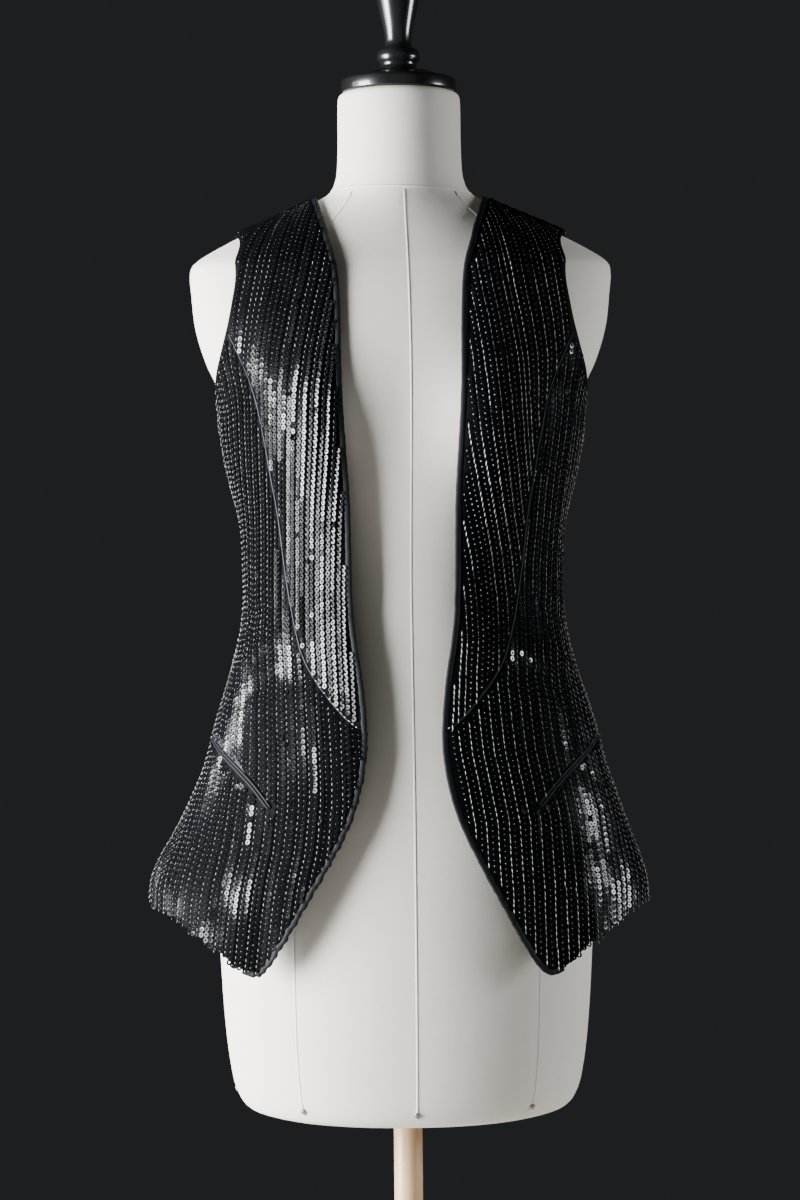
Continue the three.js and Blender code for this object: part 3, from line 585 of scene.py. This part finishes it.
def laid_between(bottom, top, left, right):
    """Places inside four edges: the sum of the blends between opposite edges less the blend of the
    four corners, in plan and height."""
    def spread(places):
        return np.stack([*cloth_plan(places[..., 0], places[..., 1]), places[..., 1]], -1)

    def places(s, t):
        s, t = s[..., None], t[..., None]
        a, b, c, d = (spread(corner(np.array(end))) for corner, end in
                      ((bottom, 0.0), (bottom, 1.0), (top, 0.0), (top, 1.0)))
        blend = ((1 - t) * spread(bottom(s[..., 0])) + t * spread(top(s[..., 0]))
                 + (1 - s) * spread(left(t[..., 0])) + s * spread(right(t[..., 0]))
                 - (1 - t) * ((1 - s) * a + s * b) - t * ((1 - s) * c + s * d))
        return np.degrees(np.arctan2(blend[..., 0], blend[..., 1])), blend[..., 2]
    return places


upper_armhole = through(ARMHOLE, ARMHOLE_PRINCESS, 0)
front_side = in_turn(princess, upper_armhole, 0.6)
centre_front = laid_between(straight(upper_edge(0.0), princess(0.0)), straight(upper_edge(1.0), ARMHOLE[0]),
                            upper_edge, front_side)
side_front = laid_between(through(HEM, 0, HEM_SIDE), through(ARMHOLE, ARMHOLE_PRINCESS, ARMHOLE_SIDE),
                          in_turn(lower_edge, princess, 0.45), side_seam)
underarm = ARMHOLE[ARMHOLE_SIDE, 1]
back_armhole = through(ARMHOLE, ARMHOLE_SIDE)
across_back = straight(ARMHOLE[ARMHOLE_SIDE], (180, underarm))
back_stretch = (NECKLINE[-1, 1] - underarm) / (ARMHOLE[-1, 1] - underarm)
lower_back = laid_between(through(HEM, HEM_SIDE), across_back, side_seam,
                          straight(HEM[-1], (180, underarm)))
shoulder_seam = straight(ARMHOLE[-1], bound_edge(0.0))
shoulder = in_turn(shoulder_seam, straight(bound_edge(0.0), NECKLINE[0]), 5 / 6)  # on past the binding
back_neck = through(NECKLINE)


def upper_centre_back(share):
    """Up the centre back, in step with the armhole's own rise."""
    rise = (back_armhole(share)[..., 1] - underarm) * back_stretch
    return together(180.0, underarm + rise)


upper_back = laid_between(across_back, in_turn(shoulder, back_neck, 0.5), back_armhole, upper_centre_back)


def half_back(s, t):
    """The back in one: its lower part up to the underarm, then its upper part."""
    part = 0.73
    low = lower_back(s, np.clip(t / part, 0, 1))
    high = upper_back(s, np.clip((t - part) / (1 - part), 0, 1))
    return np.where(t < part, low, high)


# ---- Waistcoat: panels of net ----------------------------------------------------------------------
# Black net backed with black satin, the ground that the sequins are sewn to: a centre front, a side
# front that runs on into the pointed skirt, and a half back on either side, turned in along each seam.

NET_LIFT, NET_THICK = 0.25, 1.0  # over the inside of the cloth, and through
net = Finish("black net on satin", Roughness=0.7, Specular_IOR_Level=0.06)
mesh_cells = net.add("TexVoronoi", {}, {"Vector": net.cut_place(), "Scale": 0.9})
net.drive(Base_Color=net.blend(mesh_cells, (0.0008, 0.0008, 0.001, 1), (0.003, 0.0033, 0.004, 1)))
net.bump(mesh_cells, 0.0003, 0.6)

PANELS = {  # places, steps across and up, the cut's flat width and length in metres
    "front": (centre_front, 30, 110, (0.125, 0.475)),
    "side_front": (side_front, 64, 130, (0.235, 0.56)),
    "back": (half_back, 80, 150, (0.235, 0.635)),
}


def steps_along(points, axis=0):
    """The length of each step between neighbours of a row or grid of points."""
    return np.linalg.norm(np.diff(points, axis=axis), axis=-1)


def net_panel(places, across, up, side):
    """A shell between two grids of points, the inside of the cloth and its outside, a thickness
    apart along the way out and thinner towards its turned-in edges. Its area is that of its cells."""
    s, t = np.meshgrid(np.linspace(0, 1, across + 1), np.linspace(0, 1, up + 1))
    angle, z = places(s, t)
    angle = angle * side
    here, normal = cloth_point(angle, z), outward(cloth_point, angle, z)
    width, length = steps_along(here, 1).sum(1).mean(), steps_along(here).sum(0).mean()
    from_edge = np.minimum(np.minimum(s, 1 - s) * width, np.minimum(t, 1 - t) * length)
    thick = NET_THICK * (0.45 + 0.55 * np.clip(from_edge / 3, 0, 1))
    layers = [here + normal * NET_LIFT, here + normal * (NET_LIFT + thick)[..., None]]
    number, count = np.arange(s.size).reshape(s.shape), s.size
    rim = np.r_[number[0], number[1:, -1], number[-1, -2::-1], number[-2:0:-1, 0]]
    inside, outside = grid_faces(up + 1, across + 1), grid_faces(up + 1, across + 1) + count
    walls = np.stack([rim, np.roll(rim, -1), np.roll(rim, -1) + count, rim + count], -1)
    faces = np.concatenate([inside[:, ::-1], outside, walls])
    uv = np.stack([s * width, t * length], -1)
    cells = np.cross(np.diff(here, axis=1)[:-1], np.diff(here, axis=0)[:, :-1])
    area = np.linalg.norm(cells, axis=-1).sum() * MILLIMETRE ** 2
    return np.stack(layers), faces if side > 0 else faces[:, ::-1], np.stack([uv, uv]), area


SIDES = {"left": 1, "right": -1}
panel_pieces, panel_areas = {}, {}
for side_name, side in SIDES.items():
    for part, (places, across, up, _) in PANELS.items():
        name = f"{part}_{side_name}"
        points, faces, uv, panel_areas[name] = net_panel(places, across, up, side)
        panel_pieces[name] = make_piece(f"net_{name}", points, faces, net, "sequin_cloth", [name], uv=uv)

# ---- Front binding ---------------------------------------------------------------------------------
# A strip of dark satin folded over the raw front edge from the neck point round the point of the
# skirt, sewn through both sides, so that it draws up into small puckers, most of all low down.


def satin_finish(name, dark, light):
    """Satin: fine ribs along the piece, and soft clouding where it was handled."""
    satin = Finish(name, Specular_IOR_Level=0.22)
    ribs = satin.add("TexWave", {"bands_direction": "Y"},
                     {"Vector": satin.cut_place(), "Scale": 0.5, "Distortion": 2.0})
    cloud = satin.noise(60, 3)
    satin.drive(Base_Color=satin.blend(cloud, dark, light), Roughness=0.5 + 0.2 * cloud)
    satin.bump(ribs * 0.4 + satin.noise(420) * 0.6, 0.0003, 0.5)
    return satin


binding_satin = satin_finish("dark satin binding", (0.002, 0.0023, 0.003, 1), (0.006, 0.0068, 0.0095, 1))
BINDING_PROFILE = np.array([(-0.1, 0.4), (0.0, 1.0), (0.5, 1.5), (1.6, 1.8), (2.9, 1.8), (4.3, 1.55),
                            (4.9, 1.1), (4.3, -0.1), (2.8, -0.35), (1.4, -0.4), (0.4, -0.2)])
PUCKERS = {"left": (0.08, 0.2, 740), "right": (0.2, 0.45, 800)}  # swell, sway, top of the worst of them


def strip_on_cloth(places, profile, side, swell=0.0, sway=0.0):
    """A strip along places on the cloth, turned over for the other half. Its profile is in (inwards,
    lift) and grows and shifts by the swell and sway at each place."""
    swell, sway = np.broadcast_to(swell, len(places)), np.broadcast_to(sway, len(places))
    middle = profile.mean(0)
    grown = middle + (profile - middle) * (1 + swell)[:, None, None]
    grown[..., 0] += sway[:, None]
    return laid_strip(cloth_point, places[:, 0] * side, places[:, 1], grown * (-side, 1))[:, ::-side]


def run_length(points):
    """Distance along a path at each of its points."""
    return np.r_[0, np.cumsum(steps_along(points))]


def run_along(places, side):
    """The same for places on the cloth's smooth shape."""
    return run_length(smooth_cloth(places[:, 0] * side, places[:, 1]))


CORNER_GAP = 1.2  # between a profile's corners, on the map


def make_strip(name, rings, along, finish, nodes=()):
    """A closed strip from its rings, mapped by its corners across and its run along."""
    across = np.arange(rings.shape[1]) * CORNER_GAP
    rings, faces = closed_tube(rings)
    uv = together(across, np.r_[along[0], along, along[-1]][:, None])
    make_piece(name, rings, faces, finish, "satin_binding", nodes, uv=uv)


edge_places = front_edge(np.linspace(0, 1, 560))
for side_name, side in SIDES.items():
    run = run_along(edge_places, side)
    swell_by, sway_by, top = PUCKERS[side_name]
    low = 0.25 + 0.75 / (1 + np.exp((edge_places[:, 1] - top) / 25))
    uneven = chance.normal(0, 1, 80)
    beat = np.interp(run, np.linspace(0, run[-1], 80), uneven)
    pucker = np.sin(run / 1.35 + 1.4 * beat)
    swell = swell_by * low * pucker - 0.5 * np.exp((run - run[-1]) / 1.5)
    sway = sway_by * low * np.sin(run / 3.1 + beat)
    make_strip(f"binding_{side_name}", strip_on_cloth(edge_places, BINDING_PROFILE, side, swell, sway), run,
               binding_satin, [f"front_binding_{side_name}"])

# ---- Princess seams --------------------------------------------------------------------------------
# The seam between the front and side front lies open enough for the satin of the turned edge to show
# as a narrow fold along it, widest over the bust.

# The left seam's satin is the right one's in darker colours: painted shade, for where its fold lies in
# shadow.
seam_satins = {  # the left one lies in the shade of its fold
    "left": satin_finish("shaded satin at the left seam", (0.007, 0.008, 0.01, 1), (0.026, 0.029, 0.035, 1)),
    "right": satin_finish("satin at the right seam", (0.02, 0.023, 0.03, 1), (0.07, 0.078, 0.095, 1))}
seam_share = np.linspace(0.015, 0.985, 200)
seam_places = princess(seam_share)
FOLD_PROFILE = np.array([(-0.9, 1.0), (-0.7, 1.75), (-0.1, 2.1), (0.6, 1.8), (0.9, 1.0), (0, 0.8)])
FOLD_SHRINK = {"left": 0.1, "right": 0.5}
for side_name, side in SIDES.items():
    run = run_along(seam_places, side)
    fold = 0.5 * np.sin(np.pi * seam_share) - FOLD_SHRINK[side_name] + 0.12 * np.sin(run / 9 + side)
    make_strip(f"seam_fold_{side_name}", strip_on_cloth(seam_places, FOLD_PROFILE, side, fold), run,
               seam_satins[side_name])

# ---- Pocket mouths ---------------------------------------------------------------------------------
# Slanted jetted pockets: two narrow rolls of satin with the slit between them, tacked at either end.
# On the right one the facing shows above the outer half, where it has slipped down.

POCKET = np.array([  # out from the centre line as seen from the front, height
    (170.5, 820.5), (160, 811), (145, 799), (130, 785.5), (115, 768.5)])
JET_PROFILE = np.array([(-2.7, 1.0), (-2.6, 2.3), (-2.0, 3.1), (-1.2, 3.2), (-0.6, 2.7), (-0.25, 1.5),
                        (0.25, 1.5), (0.6, 2.6), (1.2, 3.0), (2.0, 2.9), (2.6, 2.2), (2.7, 1.0)])
jet_satin = satin_finish("pocket satin", (0.003, 0.0034, 0.004, 1), (0.014, 0.016, 0.019, 1))
facing_satin = satin_finish("pocket facing", (0.012, 0.014, 0.015, 1), (0.035, 0.039, 0.041, 1))
pocket_line = seen_from_front(POCKET)
pocket_places = pocket_line(np.linspace(0, 1, 90))
for side_name, side in SIDES.items():
    run = run_along(pocket_places, side)
    taper = -0.35 * np.exp(-run / 2) - 0.35 * np.exp((run - run[-1]) / 2)
    make_strip(f"pocket_{side_name}", strip_on_cloth(pocket_places, JET_PROFILE, side, taper), run, jet_satin,
               [f"pocket_jets_{side_name}"])

# The facing starts where the upper jet ends and widens upwards towards the middle of its reach.
FACING_WIDTH, FACING_REACH = 8.0, 0.62  # at its widest, and its share of the pocket's length
FACING_START, POCKET_RUN = 2.2, 80  # above the slit, and the pocket's length on the map
FACING_PROFILE = np.array([(1, 1.2), (0.9, 1.9), (0.5, 2.05), (0.1, 1.9), (0, 1.2)])  # share of width, lift
share = np.linspace(0.01, FACING_REACH, 50)
width = FACING_WIDTH * np.sin(np.pi * (share / FACING_REACH) ** 0.8)
facing_line = pocket_line(share)
here = strip_on_cloth(facing_line, np.zeros((5, 2)), -1)
upper = strip_on_cloth(facing_line, np.array([(-1.0, 0.0)] * 5), -1) - here
lift = outward(cloth_point, -facing_line[:, 0], facing_line[:, 1])[:, None] * FACING_PROFILE[:, 1:]
facing = here + upper * (FACING_START + FACING_PROFILE[:, :1] * width[:, None, None]) + lift
make_strip("pocket_facing_right", facing, share * POCKET_RUN, facing_satin)

# ---- Sequins ---------------------------------------------------------------------------------------
# Black cupped sequins strung close together and couched down in upright rows with a pale thread. Each
# row twists a little this way and that along its length, and its sequins lap like tiles.

SEQUIN = {"radius": 2.66, "hole": 0.95, "cup": 0.04}
SIDES_ROUND = 12
PITCH, ROW_GAP = 5.0, 4.9
LIE = {  # how a panel's sequins lie: twist above and below, tip above and below, in degrees, the
    # height where they change, and how far the rows even out the cloth's own curve
    "front_right": (-9, -9, -4, 5, 1114, 0.6), "side_front_right": (-14, 0, 4, 17, 935, 0.2),
    "back_right": (4, 12, 3, 3, 960, 0.3), "front_left": (-17, -17, -4, 2, 915, 0.5),
    "side_front_left": (6, -4, -6, 15, 895, 0.2), "back_left": (-4, -10, 3, 3, 960, 0.3)}
LAID_OVER = np.array([  # where handling has laid them over: angle, height, half widths, twist, tip
    (-67, 848, 6, 38, 20, -15), (-49, 893, 4, 20, 3, -12), (-71, 785, 5, 30, 26, -15),
    (-83, 712, 3, 22, 34, -12), (-53, 690, 4, 22, -15, -17), (-57, 657, 3.5, 14, -12, -17),
    (-39, 822, 6, 40, -6, -5), (-60, 664, 16, 38, 5, 12), (-58, 1200, 16, 34, 0, 8),
    (-36, 1197, 3, 45, 0, 8), (-67, 799, 2.5, 5, 20, -14), (-59, 785, 1.8, 4, 10, -16),
    (-53, 766, 1.6, 4, 0, -16), (63, 760, 5.5, 32, 1, -14),
    (61, 696, 5.5, 22, 9, -13), (65, 668, 6, 20, -4, -6), (43.5, 1098, 1.6, 5, 19, 4),
    (50, 917, 16, 20, 0, -15), (50, 877, 16, 20, 0, 15), (62, 900, 20, 12, 26, 0),
    (70, 1165, 12, 45, 0, -7),
    (63, 826, 1.4, 3, -12, -14), (50, 766, 1.4, 3, 8, -13), (66, 799, 1.8, 4, -14, -14),
    (-150, 1010, 16, 60, 12, 0), (128, 800, 12, 40, -14, 4),
    (165, 1120, 14, 50, 10, -4)])
ROW_GUIDES = {  # a line that a panel's rows run along, as seen from the front: distance out, height
    "front_right": [(62, 1302), (68.4, 1267), (76.2, 1230), (83.9, 1196), (90.8, 1161), (94.3, 1127),
                    (95.1, 1093), (97.1, 1034), (98.7, 947), (98.2, 844), (98, 820)],
    "front_left": [(50, 1302), (59.3, 1265), (67, 1229), (74, 1194), (79.7, 1160), (83.3, 1125),
                   (86.6, 1092), (91.4, 1058), (95.8, 1023), (100.8, 988), (104.3, 953), (105.7, 919),
                   (105.5, 859), (105, 820)],
    "side_front_right": [(113.6, 1200), (113.8, 1171), (114.2, 1119), (115.1, 1034), (116.9, 946),
                         (117, 860), (116.8, 775), (118.7, 733), (124.2, 690), (131.7, 638), (135.5, 612)],
    "side_front_left": [(139, 1200), (138.6, 1169), (135, 1118), (126.8, 1049), (121, 979), (120.8, 944),
                        (123.2, 879), (131.7, 818), (144.7, 758), (150.5, 699), (154, 608)]}
BACK_GUIDE, BACK_MIDDLE = 179.1, 150.0  # the angles of the back's first row and of its middle
STITCHES = {  # relative widths, then lengths, in the rows of long stitches and in those of short ones
    **dict.fromkeys(("front_right", "side_front_right", "back_right"), (0.36, 0.46, 1.3, 0.42)),
    **dict.fromkeys(("side_front_left", "back_left"), (0.52, 0.66, 2.0, 0.42)),
    "front_left": (0.74, 0.86, 2.1, 0.6)}
LEAN = {"in turn": 3.5, "stray": 16, "stray share": 0.02}  # in degrees, and how many stray
BARE_EDGE = {"left": 3.4, "right": 1.8}  # plain cloth between the binding and the first row
OVERHANG = 1.5  # how far a row's last sequin may have its middle below the hem
LOOSE = {  # sequins that have come loose and dangle at the hem: angle, height, twist, tip
         "right": [(-53.7, 631.5, 50, 20), (-57.5, 646.5, -35, -50), (-85, 670, 40, -20), (-74, 666, 70, 10)],
         "left": [(54.3, 636, -60, 15), (62, 653.5, -30, 40), (66, 660, 55, -10)]}


def inside(outline, angle, z):
    """Whether places lie inside a closed outline: an odd count of its sides crossed going outwards."""
    x0, y0 = outline[:, :1], outline[:, 1:]
    x1, y1 = np.roll(x0, -1, 0), np.roll(y0, -1, 0)
    crosses = ((y0 > z) != (y1 > z)) & (angle < (x1 - x0) * (z - y0) / (y1 - y0 + 1e-9) + x0)
    return crosses.sum(0) % 2 == 1


def outline_of(places, side):
    """The panel's edge once round, as places."""
    run, still = np.linspace(0, 1, 120), np.zeros(120)
    angle, z = places(np.r_[run, still + 1, run[::-1], still], np.r_[still, run, still + 1, run[::-1]])
    return np.stack([angle * side, z], -1)


def row_guide(name, side):
    """The angle of the line that a panel's rows run along, at each height."""
    if name not in ROW_GUIDES:
        return lambda z: np.full(len(z), BACK_GUIDE * side)
    out, height = np.array(ROW_GUIDES[name])[::-1].T
    return lambda z: side * angle_out(np.interp(z, height, out), z)


def rows_on(outline, guide):
    """The rows of a panel: at every height they stand a row gap apart, measured along the cloth from
    the guide line. Gives their angles, by height and row, and the heights."""
    z = np.arange(outline[:, 1].min() - 6, outline[:, 1].max() + 6, 2.0)
    angle = np.arange(outline[:, 0].min() - 14, outline[:, 0].max() + 14, 0.25)
    ground = cloth_point(angle[None], z[:, None])
    run = np.concatenate([np.zeros((len(z), 1)), np.cumsum(steps_along(ground, 1), 1)], 1)
    start = np.array([np.interp(a, angle, r) for a, r in zip(guide(z), run)])
    reach = int(run.max() / ROW_GAP) + 1
    steps = np.arange(-reach, reach + 1) * ROW_GAP
    return np.array([np.interp(s + steps, r, angle, np.nan, np.nan) for s, r in zip(start, run)]), z


def along_row(angle, z):
    """Places a pitch apart down one row, and how far along it each is."""
    is_there = ~np.isnan(angle)
    if is_there.sum() < 3:
        return np.zeros((0, 3))
    angle, z = angle[is_there], z[is_there]
    run = run_length(cloth_point(angle, z))
    at = np.arange(chance.uniform(0, PITCH), run[-1], PITCH)
    at = at + chance.normal(0, 0.12, len(at))
    return np.stack([np.interp(at, run, angle), np.interp(at, run, z), at], -1)


def clear_of(points, line, gap):
    """Whether points stand further than a gap from every point of a line: the square of a distance is
    the sum of the squares less twice the product."""
    square = (points ** 2).sum(-1)[:, None] + (line ** 2).sum(-1) - 2 * points @ line.T
    return square.min(1) > gap ** 2


def row_lean(run, is_even):
    """A row's twist and tip, in degrees, along its length: rows are sewn up and down in turn, so that
    they lean either way in turn, and each has stretches of its own lean, with a few stray sequins."""
    def wander(middle, whole, stretch):
        ends = np.cumsum(chance.uniform(22, 85, 40))
        own = chance.normal(0, stretch, 41)[np.searchsorted(ends, run)]
        return middle + chance.normal(0, whole) + own + chance.normal(0, 0.7, len(run))

    stray = chance.normal(0, LEAN["stray"], len(run)) * (chance.random(len(run)) < LEAN["stray share"])
    return wander(LEAN["in turn"] * (1 if is_even else -1), 2.5, 3.5) + stray, wander(0, 1.5, 2.5)


def lie_of(name, angle, z):
    """Twist and tip of the sequins of a panel: its own, turning smoothly at a height, with a bell round
    each place where they are laid over, and the share of the rows' own lean that is left there."""
    high_twist, low_twist, high_tip, low_tip, waist, _ = LIE[name]
    low = 1 / (1 + np.exp((z - waist) / 20))
    twist, tip = high_twist + (low_twist - high_twist) * low, high_tip + (low_tip - high_tip) * low
    calm = np.zeros(len(z))
    for at, height, width, length, turn, lift in LAID_OVER:
        bell = np.exp(-((angle - at) / width) ** 2 - ((z - height) / length) ** 2)
        twist, tip, calm = twist + turn * bell, tip + lift * bell, np.maximum(calm, bell)
    return twist, tip, 1 - 0.6 * calm


def sequin_frames(angle, z, twist, tip, middle, even):
    """Middle, sideways, downward and outward of each sequin: the cloth's own frame, part of the way
    towards that of the middle row, turned by the twist about the row and by the tip across it."""
    here = cloth_point(angle, z)
    normal = unit((1 - even) * outward(cloth_point, angle, z) + even * outward(cloth_point, middle, z))
    down = unit(normal * normal[:, 2:] - (0, 0, 1))
    across = np.cross(down, normal)
    cosine, sine = np.cos(np.radians(twist))[:, None], np.sin(np.radians(twist))[:, None]
    across, normal = across * cosine + normal * sine, normal * cosine - across * sine
    cosine, sine = np.cos(np.radians(tip))[:, None], np.sin(np.radians(tip))[:, None]
    down, normal = down * cosine + normal * sine, normal * cosine - down * sine
    return here, across, down, normal


def set_in_frames(frames, lift, shape, faces):
    """A shape's points, the same in every frame or one's own in each, and their faces: every point is
    the sum of the frame's three directions, each times its own measure, lifted outwards."""
    here, across, down, normal = frames
    points = here + normal * lift[:, None]
    points = points[:, None] + np.einsum("npk,nkc->npc", shape, np.stack([across, down, normal], 1))
    number = np.arange(len(here))[:, None, None] * points.shape[1]
    return points.reshape(-1, 3), (faces + number).reshape(-1, faces.shape[1])


def sequin_mesh(frames, lift):
    """Round washers, sunk a little towards the hole."""
    turn = np.arange(SIDES_ROUND) * 2 * np.pi / SIDES_ROUND
    radius = np.array([[SEQUIN["radius"]], [SEQUIN["hole"]]])
    sink = np.array([[0.0], [-SEQUIN["cup"]]])
    shape = together(radius * np.cos(turn), radius * np.sin(turn), sink).reshape(-1, 3)
    return set_in_frames(frames, lift, np.broadcast_to(shape, (len(lift), *shape.shape)),
                         grid_faces(2, SIDES_ROUND, is_round=True))


def stitch_mesh(frames, lift, size):
    """Slim pointed beads of thread from the hole down over the rim, by each one's width and length."""
    shape = np.array([(0, 0.7, -0.2), (0.55, 1.8, 0.1), (0, 1.8, 0.5), (-0.55, 1.8, 0.1), (0, 1.8, -0.2),
                      (0, 3.3, 0.05)])
    faces = np.array([(0, 1, 2), (0, 2, 3), (0, 3, 4), (0, 4, 1), (5, 2, 1), (5, 3, 2), (5, 4, 3), (5, 1, 4)])
    return set_in_frames(frames, lift, shape * size[:, None, [0, 1, 0]], faces)


black = Finish("black sequin", Coat_Roughness=0.12, Specular_IOR_Level=0.04, Roughness=0.35)
tone = black.tone()
rim = black.add("SeparateXYZ", {}, {"Vector": black.cut_place()}) > 0.78
black.drive(Base_Color=black.blend(tone, (0.0016, 0.0017, 0.0021, 1), (0.0046, 0.005, 0.0064, 1)),
            Coat_Weight=(1 - 0.8 * tone) ** 2 * (1 - rim))
black.bump(black.noise(700), 0.0001, 0.25)
# The thread's colour runs from near-black to pale by each stitch's tone: painted glints, paler where a stitch
# would catch the light.
thread = Finish("pale couching thread", Roughness=0.4, Sheen_Weight=0.2)
thread.drive(Base_Color=thread.blend(thread.tone() * (0.8 + 0.4 * thread.noise(900)), (0.02, 0.02, 0.022, 1),
                                     (0.85, 0.84, 0.81, 1)))

whole = np.linspace(0, 1, 900)
edge_lines = {  # the line's places, and how far the middle of a sequin stays from it
    "front": (front_edge(whole * point_share), BINDING_WIDTH), "princess": (princess(whole), 2.6),
    "pocket": (pocket_line(whole), 4.6), "armhole": (through(ARMHOLE)(whole), 3.6),
    "shoulder": (shoulder_seam(whole), 2.4), "neckline": (back_neck(whole), 3.6),
    "side": (side_seam(whole), 2.4), "centre back": (straight(HEM[-1], NECKLINE[-1])(whole), 2.4)}
SEQUIN_LIFT, LONG_ROW = 1.9, 0.45  # over the cloth's inside, and the tone from which stitches are long
for name in panel_pieces:
    part, side_name = name.rsplit("_", 1)
    side, (places, _, _, cut) = SIDES[side_name], PANELS[part]
    outline, guide = outline_of(places, side), row_guide(name, side)
    row_angles, heights = rows_on(outline, guide)
    found = []
    for number, column in enumerate(row_angles.T):
        spots = along_row(column[::-1], heights[::-1])
        kept = spots[inside(outline, spots[:, 0], spots[:, 1] + OVERHANG)] if len(spots) else spots
        if len(kept):
            # Every other row has the long stitches, their thread painted pale as glints, and no two rows are
            # quite the same.
            row_tone = np.clip(0.7 * (number % 2) + chance.normal(0.1, 0.22), 0, 1)
            lean = row_lean(kept[:, 2], number % 2)
            found.append(np.column_stack([kept[:, :2], *lean, np.full(len(kept), row_tone)]))
    angle, z, twist, tip, row_tone = np.concatenate(found).T
    here = cloth_point(angle, z)
    is_kept = np.ones(len(here), bool)
    for edge, (line, gap) in edge_lines.items():
        gap += BARE_EDGE[side_name] if edge == "front" else 0
        is_kept &= clear_of(here, cloth_point(line[:, 0] * side, line[:, 1]), gap)
    angle, z, twist, tip, row_tone = (values[is_kept] for values in (angle, z, twist, tip, row_tone))
    if part == "side_front":
        loose = np.array([(*place, chance.random()) for place in LOOSE[side_name]])
        angle, z, twist, tip, row_tone = np.column_stack([(angle, z, twist, tip, row_tone), loose.T])
    # Where the cloth turns under, the sequins hang most of the way back to upright.
    undercut = np.clip(-outward(cloth_point, angle, z)[:, 2], 0, 1)
    lie_twist, lie_tip, own = lie_of(name, angle, z)
    tip = tip * own + lie_tip + 0.7 * np.degrees(np.arcsin(undercut))
    middle = np.full(len(z), BACK_MIDDLE * side) if part == "back" else guide(z)
    frames = sequin_frames(angle, z, twist * own + lie_twist, tip, middle, LIE[name][-1])
    lift = SEQUIN_LIFT + 0.4 * (row_tone < LONG_ROW)
    shade = np.clip(0.8 * row_tone + 0.3 * chance.random(len(z)), 0, 1)
    rim = np.tile(np.repeat([[1.0, 0.0], [0.0, 0.0]], SIDES_ROUND, 0), (len(z), 1))
    sequins = make_piece(f"sequins_{name}", *sequin_mesh(frames, lift), black, "sequin_cloth", uv=rim,
                         tone=np.repeat(shade, 2 * SIDES_ROUND))
    line_width, dot_width, line_length, dot_length = STITCHES[name]
    is_line = row_tone > LONG_ROW
    size = np.stack([np.where(is_line, line_width, dot_width) + chance.normal(0, 0.08, len(z)),
                     np.where(is_line, line_length, dot_length) * chance.uniform(0.8, 1.1, len(z))], -1)
    # Each stitch's tone is a painted glint: paler in the rows of long stitches, and varied at random.
    painted_glint = np.clip(0.35 + 0.6 * row_tone + chance.normal(0, 0.25, len(z)), 0.05, 1)
    stitches = make_piece(f"stitches_{name}", *stitch_mesh(frames, lift + 0.25, size), thread, "sequin_cloth",
                          tone=np.repeat(painted_glint, 6))

# Where the princess seam was mended, its stitches show: a slanted run at the right front's lower end
# and one tack on the left. Each is a share of the seam's length.
MENDED = {"right": np.linspace(0.02, 0.24, 11), "left": np.array([0.695, 0.705, 0.712])}
for side_name, side in SIDES.items():
    (angle, z), (angle_on, z_on) = princess(MENDED[side_name]).T, princess(MENDED[side_name] - 0.004).T
    here, normal = cloth_point(angle * side, z), outward(cloth_point, angle * side, z)
    down = cloth_point(angle_on * side, z_on) - here
    down = unit(down + 0.25 * np.linalg.norm(down, axis=-1, keepdims=True) * np.cross(normal, down))
    size = np.stack([np.full(len(here), 0.75), chance.uniform(0.9, 1.4, len(here))], -1)
    points, faces = stitch_mesh((here, np.cross(down, normal), down, normal), np.full(len(here), 2.3), size)
    make_piece(f"mended_{side_name}", points, faces, thread, "satin_binding", tone=np.full(len(points), 0.9))
